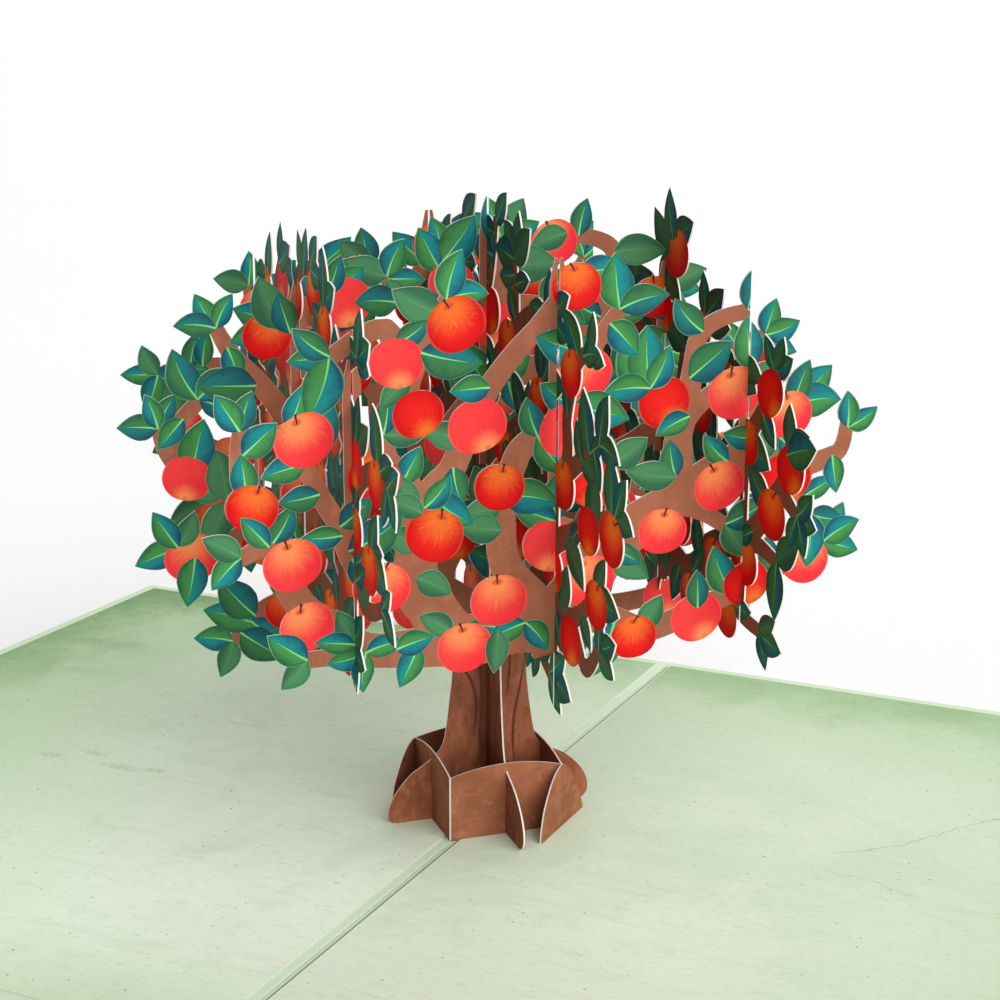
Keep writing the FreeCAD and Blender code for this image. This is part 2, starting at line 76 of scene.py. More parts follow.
# ---- crown outline of one slice --------------------------------------------
def half_width(kind, z):
    """Half width of the crown at height z, both in D."""
    if kind == "centre":
        tab = ((1.95, 0.0), (2.05, 2.6), (2.5, 3.3), (3.1, 3.75), (4.0, 4.1), (5.0, 4.2), (5.6, 4.05),
               (6.1, 3.5), (6.6, 2.85), (7.1, 2.05), (7.5, 1.25), (7.75, 0.4), (7.8, 0.0))
    else:
        tab = ((2.35, 0.0), (2.5, 2.3), (2.9, 2.9), (3.4, 3.35), (4.1, 3.7), (5.0, 3.8), (5.5, 3.7),
               (5.9, 3.0), (6.4, 2.4), (6.9, 1.8), (7.25, 1.0), (7.45, 0.0))
    if z <= tab[0][0] or z >= tab[-1][0]:
        return 0.0
    for (za, wa), (zb, wb) in zip(tab, tab[1:]):
        if z <= zb:
            return wa + (wb - wa) * (z - za) / (zb - za)
    return 0.0


def inside(kind, s, z, margin):
    """True when (s, z) lies in the crown outline shrunk by margin (in D)."""
    if half_width(kind, z) <= 0.0:
        return False
    n = 12
    for i in range(n):
        a = 2 * math.pi * i / n
        if abs(s + margin * math.cos(a)) > half_width(kind, z + margin * math.sin(a)):
            return False
    return True


# ---- motif outlines ---------------------------------------------------------
def bez(p0, p1, p2, t):
    a, b, c = (1 - t) ** 2, 2 * t * (1 - t), t * t
    return (a * p0[0] + b * p1[0] + c * p2[0], a * p0[1] + b * p1[1] + c * p2[1])


def ribbon(path, widths, cap):
    """Closed outline of a tapered stroke along path, with a pointed or round start."""
    left, right = [], []
    n = len(path)
    for i, p in enumerate(path):
        q0, q1 = path[max(0, i - 1)], path[min(n - 1, i + 1)]
        dx, dy = q1[0] - q0[0], q1[1] - q0[1]
        m = math.hypot(dx, dy) or 1.0
        nx, ny = -dy / m, dx / m
        w = widths[i] * 0.5
        left.append((p[0] + nx * w, p[1] + ny * w))
        right.append((p[0] - nx * w, p[1] - ny * w))
    p, q = path[0], path[1]
    m = math.hypot(q[0] - p[0], q[1] - p[1]) or 1.0
    start = (p[0] - (q[0] - p[0]) / m * widths[0] * 0.45, p[1] - (q[1] - p[1]) / m * widths[0] * 0.45)
    out = [start] + right
    if cap:
        p, q = path[-1], path[-2]
        m = math.hypot(q[0] - p[0], q[1] - p[1]) or 1.0
        out.append((p[0] - (q[0] - p[0]) / m * widths[-1] * 0.45, p[1] - (q[1] - p[1]) / m * widths[-1] * 0.45))
    return out + left[::-1]


def crosses(a, b, c, d):
    """True when the segments ab and cd cross."""
    def side(p, q, r):
        return (q[0] - p[0]) * (r[1] - p[1]) - (q[1] - p[1]) * (r[0] - p[0])
    return side(a, b, c) * side(a, b, d) < 0 and side(c, d, a) * side(c, d, b) < 0


def is_simple(poly):
    n = len(poly)
    for i in range(n):
        for j in range(i + 2, n):
            if i == 0 and j == n - 1:
                continue
            if crosses(poly[i], poly[(i + 1) % n], poly[j], poly[(j + 1) % n]):
                return False
    return True


def hull(points):
    """Convex hull, anticlockwise."""
    pts = sorted(set(points))
    lo, up = [], []
    for seq, out in ((pts, lo), (pts[::-1], up)):
        for p in seq:
            while len(out) > 1 and ((out[-1][0] - out[-2][0]) * (p[1] - out[-2][1])
                                    - (out[-1][1] - out[-2][1]) * (p[0] - out[-2][0])) <= 1e-9:
                out.pop()
            out.append(p)
    return lo[:-1] + up[:-1]


def stroke(path, widths, cap):
    """A tapered stroke as one simple outline, or as convex lengths where it bends too tightly."""
    whole = ribbon(path, widths, cap)
    if is_simple(whole):
        return [whole]
    out = []
    for i in range(len(path) - 1):
        pts = []
        for p, w in ((path[i], widths[i]), (path[i + 1], widths[i + 1])):
            for k in range(8):
                a = math.pi * (k + 0.5) / 4.0
                pts.append((round(p[0] + 0.54 * w * math.cos(a), 4), round(p[1] + 0.54 * w * math.sin(a), 4)))
        out.append(hull(pts))
    return out


LEAF_T = (0.0, 0.06, 0.16, 0.30, 0.45, 0.60, 0.74, 0.87, 1.0)
LEAF_W = (0.0, 0.40, 0.74, 0.96, 1.00, 0.88, 0.65, 0.36, 0.0)


def leaf_axis(leaf, t):
    """Point and normal on the bent midrib of a leaf."""
    bx, bz, ang, ln, wd, bend = leaf[:6]
    a = ang + bend * (t - 0.5)
    r = ln * t
    ca, sa = math.cos(ang), math.sin(ang)
    off = bend * ln * 0.5 * (t * t - t)
    return (bx + r * ca - off * sa, bz + r * sa + off * ca), (-math.sin(a), math.cos(a))


def leaf_outline(leaf, shrink=0.0):
    ln, wd = leaf[3], leaf[4]
    up, dn = [], []
    t0 = shrink / ln * 1.2
    for t, w in zip(LEAF_T, LEAF_W):
        tt = t0 + t * (1 - 2.1 * t0)
        p, n = leaf_axis(leaf, tt)
        h = max(0.0, 0.5 * wd * w - (shrink if w > 0 else 0.0))
        up.append((p[0] + n[0] * h, p[1] + n[1] * h))
        dn.append((p[0] - n[0] * h, p[1] - n[1] * h))
    return up[:1] + up[1:-1] + up[-1:] + dn[1:-1][::-1]


def apple_outline(ap, n=26, shrink=0.0):
    cx, cz, r, tilt, v = ap[:5]
    pts = []
    for i in range(n):
        a = 2 * math.pi * i / n
        c, s = math.cos(a), math.sin(a)
        rr = (r - shrink) * (1.0 + 0.035 * math.cos(2 * a) - 0.05 * max(0.0, s) ** 6 - 0.03 * max(0.0, -s) ** 4
                  + 0.012 * math.sin(3 * a + v))
        x, z = rr * c, rr * s * 0.97
        pts.append((cx + x * math.cos(tilt) - z * math.sin(tilt), cz + x * math.sin(tilt) + z * math.cos(tilt)))
    return pts


def point_in(poly, x, y):
    c = False
    j = len(poly) - 1
    for i in range(len(poly)):
        xi, yi = poly[i]
        xj, yj = poly[j]
        if (yi > y) != (yj > y) and x < (xj - xi) * (y - yi) / (yj - yi) + xi:
            c = not c
        j = i
    return c


# ---- one slice of the tree --------------------------------------------------
# half widths of the trunk and its root flare, (distance, height), towards -s and +s
TRUNK_L = ((6.6, 40.0), (6.7, 34.0), (7.05, 28.0), (7.6, 23.5), (8.1, 19.2), (8.8, 15.4), (9.6, 13.8), (11.2, 12.2),
           (13.1, 10.9), (14.9, 9.8), (16.6, 8.2), (18.2, 6.2), (19.3, 4.4), (19.8, 2.8), (19.85, 1.6), (19.5, 0.7),
           (18.9, 0.15), (18.0, 0.0))
TRUNK_R = ((7.3, 40.0), (7.5, 34.0), (7.85, 28.0), (8.35, 23.0), (8.9, 19.0), (9.4, 16.2), (10.1, 14.0), (11.3, 12.4),
           (13.4, 11.3), (15.6, 10.2), (17.6, 8.6), (19.4, 6.6), (20.5, 4.6), (20.9, 2.8), (20.7, 1.5), (20.1, 0.6),
           (19.2, 0.0))


def build_slice(kind, seed, crossings, split, drop):
    """Motifs of one slice in millimetres above the page: a list of (kind, data),
    lowest in the print first.  crossings are the slot lines, split the height where
    the slots of the two families meet, drop is +1 when this slice is slotted from the
    top and -1 from the bottom."""
    rnd = Lcg(seed)
    hub = (0.0, 2.25) if kind == "centre" else (0.0, 3.05)
    # branch targets, evenly spread inside the crown
    tips = []
    tries = 0
    while tries < 2600:
        tries += 1
        s, z = rnd.u(-4.2, 4.2), rnd.u(2.0, 7.7)
        if not inside(kind, s, z, 0.42):
            continue
        if math.hypot(s - hub[0], z - hub[1]) < 0.75:
            continue
        if all((s - a) ** 2 + (z - b) ** 2 > 0.62 ** 2 for a, b in tips):
            tips.append((s, z))
    # a few sprigs stand out past the crown outline
    sprigs = []
    tries = 0
    while tries < 400 and len(sprigs) < 7:
        tries += 1
        z = rnd.u(2.45 if kind == "centre" else 2.9, 6.5)
        s = half_width(kind, z) * (1 if rnd.u() < 0.5 else -1)
        if all(math.hypot(s - a, z - b) > 1.25 for a, b in sprigs):
            sprigs.append((s, z))
            near = [t for t in tips if math.hypot(s - t[0], z - t[1]) > 0.5]
            tips[:] = near + [(s * 0.92, z)]
    tips.sort(key=lambda p: math.hypot(p[0] - hub[0], p[1] - hub[1]))
    nodes = [hub]
    parent = [-1]
    direc = [(0.0, 1.0)]
    for t in tips:
        best, bi = None, 0
        dh = math.hypot(t[0] - hub[0], t[1] - hub[1])
        for i, p in enumerate(nodes):
            d = math.hypot(t[0] - p[0], t[1] - p[1])
            if i and (math.hypot(p[0] - hub[0], p[1] - hub[1]) > dh - 0.12 or d > 2.2):
                continue
            dx, dz = (t[0] - p[0]) / d, (t[1] - p[1]) / d
            turn = 1.0 - (dx * direc[i][0] + dz * direc[i][1])
            cost = d * (1.0 + (0.95 * turn if i else 0.28)) + 0.10 * (0 if i else d)
            if best is None or cost < best:
                best, bi = cost, i
        p = nodes[bi]
        d = math.hypot(t[0] - p[0], t[1] - p[1])
        dx, dz = (t[0] - p[0]) / d, (t[1] - p[1]) / d
        ox, oz = direc[bi]
        mx, mz = dx + (0.25 * ox if bi else 0.0), dz + (0.25 * oz if bi else 0.0)
        m = math.hypot(mx, mz) or 1.0
        nodes.append(t)
        parent.append(bi)
        direc.append((dx * 0.8 + mx / m * 0.2, dz * 0.8 + mz / m * 0.2))
    n = len(nodes)
    load = [1.0] * n
    for i in range(n - 1, 0, -1):
        load[parent[i]] += load[i]
    child = [0] * n
    for i in range(1, n):
        child[parent[i]] += 1

    def width(i):
        return min(0.58, 0.135 * (load[i] ** 0.50) + 0.03) * D

    bark, segs = [], []
    for i in range(1, n):
        p, t = nodes[parent[i]], nodes[i]
        d = math.hypot(t[0] - p[0], t[1] - p[1])
        ox, oz = direc[parent[i]]
        if parent[i] == 0:
            ox, oz = (t[0] - p[0]) / d * 0.6, 0.6
        c = (p[0] + ox * d * 0.42, p[1] + oz * d * 0.42)
        path = [bez(p, c, t, k / 5.0) for k in range(6)]
        path = [(a * D, b * D) for a, b in path]
        w1 = width(i)
        w0 = min(w1 * 1.35 + 0.5, width(parent[i]) if parent[i] else w1 * 1.5 + 1.0)
        if not child[i]:
            # a twig runs a little past its last node and ends in a blunt cut
            q0, q1 = path[-2], path[-1]
            m = math.hypot(q1[0] - q0[0], q1[1] - q0[1])
            path.append((q1[0] + (q1[0] - q0[0]) / m * 1.6, q1[1] + (q1[1] - q0[1]) / m * 1.6))
        ws = [w0 + (w1 - w0) * k / (len(path) - 1.0) for k in range(len(path))]
        for part in stroke(*finer(path, ws), bool(child[i])):
            bark.append((load[i], part))
        for k in range(len(path) - 1):
            segs.append((path[k], path[k + 1], ws[k]))
    bark.sort(key=lambda b: b[0])
    motifs = []
    if kind == "centre":
        motifs.append(("trunk", [(-x, z) for x, z in TRUNK_L][::-1] + list(TRUNK_R)))
    # spines beside the slots keep the cut parts of a slice together
    tops = {}
    spines = []
    for c in crossings:
        zt = 0.0
        for k in range(78 * 4):
            z = k * 0.1
            if half_width(kind, z) > abs(c) / D + 0.25:
                zt = z * D
        zb = 99.0 * D
        for k in range(78 * 4, 0, -1):
            z = k * 0.1
            if half_width(kind, z) > abs(c) / D + 0.25:
                zb = z * D
        tops[c] = (zb, zt)
        if drop > 0:
            lo, hi = split - 3.0, zt - 4.0 + rnd.u(-2, 3)
        else:
            lo, hi = (zb + 4.0 if not (kind == "centre" and c == 0) else 30.0), split + 3.0
        spines.append((c, lo, hi))
        for sg in (-1.0, 1.0):
            a, b = 0.0, 1.55
            if drop > 0:
                motifs.append(("spine", [(c, lo), (c + sg * b, lo), (c + sg * b, hi - 4.0), (c + sg * 0.7, hi), (c, hi)][::int(sg)]))
            else:
                motifs.append(("spine", [(c, lo), (c + sg * 0.8, lo), (c + sg * b, lo + 4.0), (c + sg * b, hi), (c, hi)][::int(sg)]))
    for _, b in bark:
        motifs.append(("bark", b))
    # apples
    apples = []
    tries = 0
    want = 33 if kind == "centre" else 30
    while tries < 2500 and len(apples) < want:
        tries += 1
        i = 1 + int(rnd.u(0, n - 1.001))
        r = rnd.u(4.2, 5.0)
        s, z = nodes[i][0] * D + rnd.u(-3.4, 3.4), nodes[i][1] * D - rnd.u(0.5, 4.2)
        if not inside(kind, s / D, z / D, 0.31):
            continue
        if all((s - a[0]) ** 2 + (z - a[1]) ** 2 > (rnd.u(8.2, 11.8)) ** 2 for a in apples):
            apples.append((s, z, r, rnd.u(-0.45, 0.45), rnd.u(0, 6.28), 1 if rnd.u() < 0.3 else 0))
    # leaves: at the twig ends, then along the branches, then where the crown is thin
    leaves = []

    def add(bx, bz, ang, ln, wd, free=False):
        tip = (bx + ln * math.cos(ang), bz + ln * math.sin(ang))
        if abs(tip[0]) > half_width(kind, tip[1] / D) * D + 1.5 and not free:
            return False
        leaves.append((bx, bz, ang, ln, wd, rnd.u(-0.55, 0.55), 1 if rnd.u() < 0.5 else 0, rnd.u()))
        return True

    for i in range(1, n):
        if child[i]:
            continue
        dx, dz = direc[i]
        a0 = math.atan2(dz, dx)
        k = 2 if rnd.u() < 0.62 else 3
        fan = rnd.u(0.5, 0.8)
        free = any(abs(nodes[i][0] - a * 0.92) < 1e-6 and abs(nodes[i][1] - b) < 1e-6 for a, b in sprigs)
        for j in range(k):
            a = a0 + (j - (k - 1) / 2.0) * fan * (2.0 if k == 2 else 1.35) + rnd.u(-0.15, 0.15)
            ln = rnd.u(7.2, 10.2) if not free else rnd.u(6.4, 8.4)
            add(nodes[i][0] * D + 0.6 * math.cos(a0), nodes[i][1] * D + 0.6 * math.sin(a0), a, ln, ln * rnd.u(0.56, 0.68), free)
    for i in range(1, n):
        if load[i] > 9 or rnd.u() < 0.62:
            continue
        p, t = nodes[parent[i]], nodes[i]
        f = rnd.u(0.55, 0.95)
        bx, bz = (p[0] + (t[0] - p[0]) * f) * D, (p[1] + (t[1] - p[1]) * f) * D
        a0 = math.atan2(t[1] - p[1], t[0] - p[0])
        ln = rnd.u(7.4, 11.0)
        add(bx, bz, a0 + (1 if rnd.u() < 0.5 else -1) * rnd.u(0.7, 1.25), ln, ln * rnd.u(0.56, 0.72))
    # fill
    polys = [leaf_outline(l) for l in leaves] + [apple_outline(a, 12) for a in apples]
    boxes = [(min(p[0] for p in q), max(p[0] for p in q), min(p[1] for p in q), max(p[1] for p in q)) for q in polys]
    grid = []
    z = 2.2 * D
    while z < 7.7 * D:
        s = -4.2 * D
        while s < 4.2 * D:
            grid.append((s + rnd.u(-1.5, 1.5), z + rnd.u(-1.5, 1.5)))
            s += 4.4
        z += 4.4
    grid.sort(key=lambda g: math.sin(g[0] * 12.9898 + g[1] * 78.233))
    for s, z in grid:
        if not inside(kind, s / D, z / D, 0.16):
            continue
        hit = False
        for q, b in zip(polys, boxes):
            if b[0] - 0.6 < s < b[1] + 0.6 and b[2] - 0.6 < z < b[3] + 0.6 and point_in(q, s, z):
                hit = True
                break
        if hit:
            continue
        best, bp = 1e9, None
        for a, b, w in segs:
            for k in (0.0, 0.5):
                px, pz = a[0] + (b[0] - a[0]) * k, a[1] + (b[1] - a[1]) * k
                d = math.hypot(px - s, pz - z)
                if 2.4 < d < best:
                    best, bp = d, (px, pz)
        if bp is None or best > 6.5:
            continue
        if rnd.u() < 0.60:
            continue
        a = math.atan2(z - bp[1], s - bp[0]) + rnd.u(-0.25, 0.25)
        ln = min(10.8, max(7.0, best * rnd.u(1.6, 2.1)))
        if add(bp[0], bp[1], a, ln, ln * rnd.u(0.55, 0.68)):
            q = leaf_outline(leaves[-1])
            polys.append(q)
            boxes.append((min(p[0] for p in q), max(p[0] for p in q), min(p[1] for p in q), max(p[1] for p in q)))
    # print order: a shuffled mix of leaves and apples over the bark
    top = [("leaf", l, rnd.u()) for l in leaves] + [("apple", a, rnd.u(0.42, 1.0)) for a in apples]
    top.sort(key=lambda m: m[2])
    for k, d, _ in top:
        motifs.append((k, d))
    return motifs


def outline_of(m):
    k, d = m
    if k == "leaf":
        return leaf_outline(d)
    if k == "apple":
        return apple_outline(d)
    return d


SLICES = (
    # name, family, offset, kind, seed, slotted from top (+1) or bottom (-1)
    ("tree_slice_a_front", "A", PITCH, "outer", 11, 1),
    ("tree_slice_a_centre", "A", 0.0, "centre", 23, 1),
    ("tree_slice_a_back", "A", -PITCH, "outer", 37, 1),
    ("tree_slice_b_left", "B", -PITCH, "outer", 41, -1),
    ("tree_slice_b_centre", "B", 0.0, "centre", 59, -1),
    ("tree_slice_b_right", "B", PITCH, "outer", 67, -1),
)
SPLIT = 4.6 * D


# ---- finer outlines for the drawn print --------------------------------------
def spline_at(vals, knots, t):
    """Monotone cubic through (knots, vals)."""
    n = len(knots)
    for i in range(n - 1):
        if t <= knots[i + 1] or i == n - 2:
            break
    d = [(vals[k + 1] - vals[k]) / (knots[k + 1] - knots[k]) for k in range(n - 1)]

    def slope(k):
        if k == 0:
            return d[0]
        if k == n - 1:
            return d[-1]
        if d[k - 1] * d[k] <= 0:
            return 0.0
        return 2 * d[k - 1] * d[k] / (d[k - 1] + d[k])
    h = knots[i + 1] - knots[i]
    u = min(1.0, max(0.0, (t - knots[i]) / h))
    m0, m1 = slope(i) * h, slope(i + 1) * h
    return ((2 * u ** 3 - 3 * u ** 2 + 1) * vals[i] + (u ** 3 - 2 * u ** 2 + u) * m0
            + (-2 * u ** 3 + 3 * u ** 2) * vals[i + 1] + (u ** 3 - u ** 2) * m1)


def leaf_half(t):
    """Half width of a leaf at t along its midrib, as a share of its full half width."""
    if t <= 0.0 or t >= 1.0:
        return 0.0
    if t < 0.06:
        return 0.40 * math.sqrt(t / 0.06) * 0.92 + 0.40 * (t / 0.06) * 0.08
    return spline_at(LEAF_W[1:], LEAF_T[1:], t)


LEAF_STEPS = (0.0, 0.012, 0.035, 0.06, 0.10, 0.15, 0.21, 0.28, 0.36, 0.44, 0.52, 0.60, 0.68, 0.76, 0.83, 0.89, 0.94, 0.975, 1.0)


def leaf_drawn(leaf):
    up, dn = [], []
    for t in LEAF_STEPS:
        p, n = leaf_axis(leaf, t)
        h = 0.5 * leaf[4] * leaf_half(t)
        up.append((p[0] + n[0] * h, p[1] + n[1] * h))
        dn.append((p[0] - n[0] * h, p[1] - n[1] * h))
    return up[:1] + up[1:-1] + up[-1:] + dn[1:-1][::-1]


def finer(path, ws):
    """Catmull-Rom points between the points of a path, with the widths between them."""
    out, ow = [], []
    n = len(path)
    for i in range(n - 1):
        p0, p1, p2, p3 = path[max(0, i - 1)], path[i], path[i + 1], path[min(n - 1, i + 2)]
        for k in range(3):
            t = k / 3.0
            q = []
            for a in (0, 1):
                q.append(0.5 * (2 * p1[a] + (p2[a] - p0[a]) * t + (2 * p0[a] - 5 * p1[a] + 4 * p2[a] - p3[a]) * t * t
                                + (3 * p1[a] - p0[a] - 3 * p2[a] + p3[a]) * t ** 3))
            out.append((q[0], q[1]))
            ow.append(ws[i] + (ws[i + 1] - ws[i]) * t)
    out.append(path[-1])
    ow.append(ws[-1])
    return out, ow


def smooth_closed(poly, sharp=(), n=4):
    """Closed outline rounded through its points."""
    out = []
    m = len(poly)
    for i in range(m):
        p0, p1, p2, p3 = poly[i - 1], poly[i], poly[(i + 1) % m], poly[(i + 2) % m]
        if i in sharp:
            p0 = p1
        if (i + 1) % m in sharp:
            p3 = p2
        if i in sharp and (i + 1) % m in sharp:
            out.append(p1)
            continue
        for k in range(n):
            t = k / float(n)
            q = []
            for a in (0, 1):
                q.append(0.5 * (2 * p1[a] + (p2[a] - p0[a]) * t + (2 * p0[a] - 5 * p1[a] + 4 * p2[a] - p3[a]) * t * t
                                + (3 * p1[a] - p0[a] - 3 * p2[a] + p3[a]) * t ** 3))
            out.append((q[0], q[1]))
    return out


# strokes of the wood grain on a trunk: points (across, height) and width
GRAIN = (
    (((-5.9, 36.0), (-5.2, 30.5), (-3.3, 27.2), (-2.4, 23.4), (-2.3, 19.5), (-2.9, 15.5)), 0.62),
    (((-3.6, 38.5), (-2.4, 34.5), (-1.5, 30.0), (-1.2, 23.0), (-1.5, 16.0), (-1.3, 9.0)), 0.56),
    (((4.9, 37.0), (4.6, 32.0), (4.45, 28.0), (3.9, 23.0)), 0.60),
    (((7.5, 30.0), (6.6, 24.5), (5.6, 20.0), (5.2, 14.5), (5.6, 9.0)), 0.66),
    (((1.3, 33.0), (1.0, 25.0), (1.5, 17.0), (1.2, 10.0)), 0.42),
)


def print_layers(kind, motifs, seed):
    """Everything printed on a slice, lowest first: (what, outline, local frame, values).
    what is leaf, apple, bark or dark.  The local frame (ox, oz, angle, scale) turns a
    place on the sheet into the motif's own coordinates."""
    rnd = Lcg(seed + 1000)
    out = []
    for k, d in motifs:
        if k == "leaf":
            bx, bz, ang, ln, wd, bend, flip, r = d
            out.append(("leaf", leaf_drawn(d), (bx, bz, ang, 1.0), (ln, wd, bend), (1.0 if flip else -1.0, r, 0.0)))
        elif k == "apple":
            cx, cz, r, tilt, ph, var = d
            out.append(("apple", apple_outline(d, 56), (cx, cz, tilt, 1.0 / r), (r, float(var), ph), (1.0, rnd.u(), 0.0)))
            if not var:
                lean = rnd.u(-0.55, 0.75)
                a = tilt
                b0 = (0.02, 0.60)
                b1 = (0.02 + 0.16 * math.sin(lean), 0.60 + 0.17)
                b2 = (0.02 + 0.42 * math.sin(lean), 0.60 + 0.34 * math.cos(lean))
                pts = []
                for q in (b0, b1, b2):
                    x, y = q[0] * r, q[1] * r
                    pts.append((cx + x * math.cos(a) - y * math.sin(a), cz + x * math.sin(a) + y * math.cos(a)))
                path = [bez(pts[0], pts[1], pts[2], i / 5.0) for i in range(6)]
                ws = [0.26, 0.28, 0.31, 0.36, 0.44, 0.50]
                out.append(("dark", ribbon(path, ws, False), (cx, cz, tilt, 1.0 / r), (0.0, 0.0, 0.0), (1.0, rnd.u(), 0.0)))
        elif k == "trunk":
            nl, nr = len(TRUNK_L), len(TRUNK_R)
            out.append(("bark", smooth_closed(d, (0, nl - 1, nl, nl + nr - 1)), (0.0, 0.0, 0.0, 1.0), (1.0, 0.0, 0.0), (1.0, 0.5, 0.0)))
            # long grain strokes that follow the flare of the trunk
            for k, (stem, w) in enumerate(GRAIN):
                path = [(x + 0.05 * math.sin(2.3 * z + seed), z) for x, z in stem]
                ws = [0.07] + [w * (0.85 + 0.15 * math.sin(3.0 * i + k)) for i in range(1, len(path) - 1)] + [0.07]
                path, ws = finer(path, ws)
                out.append(("dark", ribbon(path, ws, True), (0.0, 0.0, 0.0, 1.0), (1.0, 0.0, 0.0), (1.0, rnd.u(), 0.0)))
        else:
            out.append(("bark", d, (0.0, 0.0, 0.0, 1.0), (0.0, 0.0, 0.0), (1.0, rnd.u(), 0.0)))
    return out


# ---- the sheet of one slice ---------------------------------------------------
WHAT = {"leaf": 0, "apple": 1, "bark": 2, "dark": 3, "core": 4}
R2 = math.sqrt(2.0)


def area_of(q):
    return 0.5 * sum(q[i][0] * q[(i + 1) % len(q)][1] - q[(i + 1) % len(q)][0] * q[i][1] for i in range(len(q)))


def world_of(fam, off, s, z, side):
    """Metres in the card's frame; side is the distance from the sheet's mid plane, mm,
    towards +v for family A and +u for family B."""
    if fam == "A":
        u, v = s, off + side
    else:
        u, v = off + side, s
    return ((u + v) / R2 * MM, (u - v) / R2 * MM, min((z + PAGE_Z) * MM, CAD_BOX[1][2]))


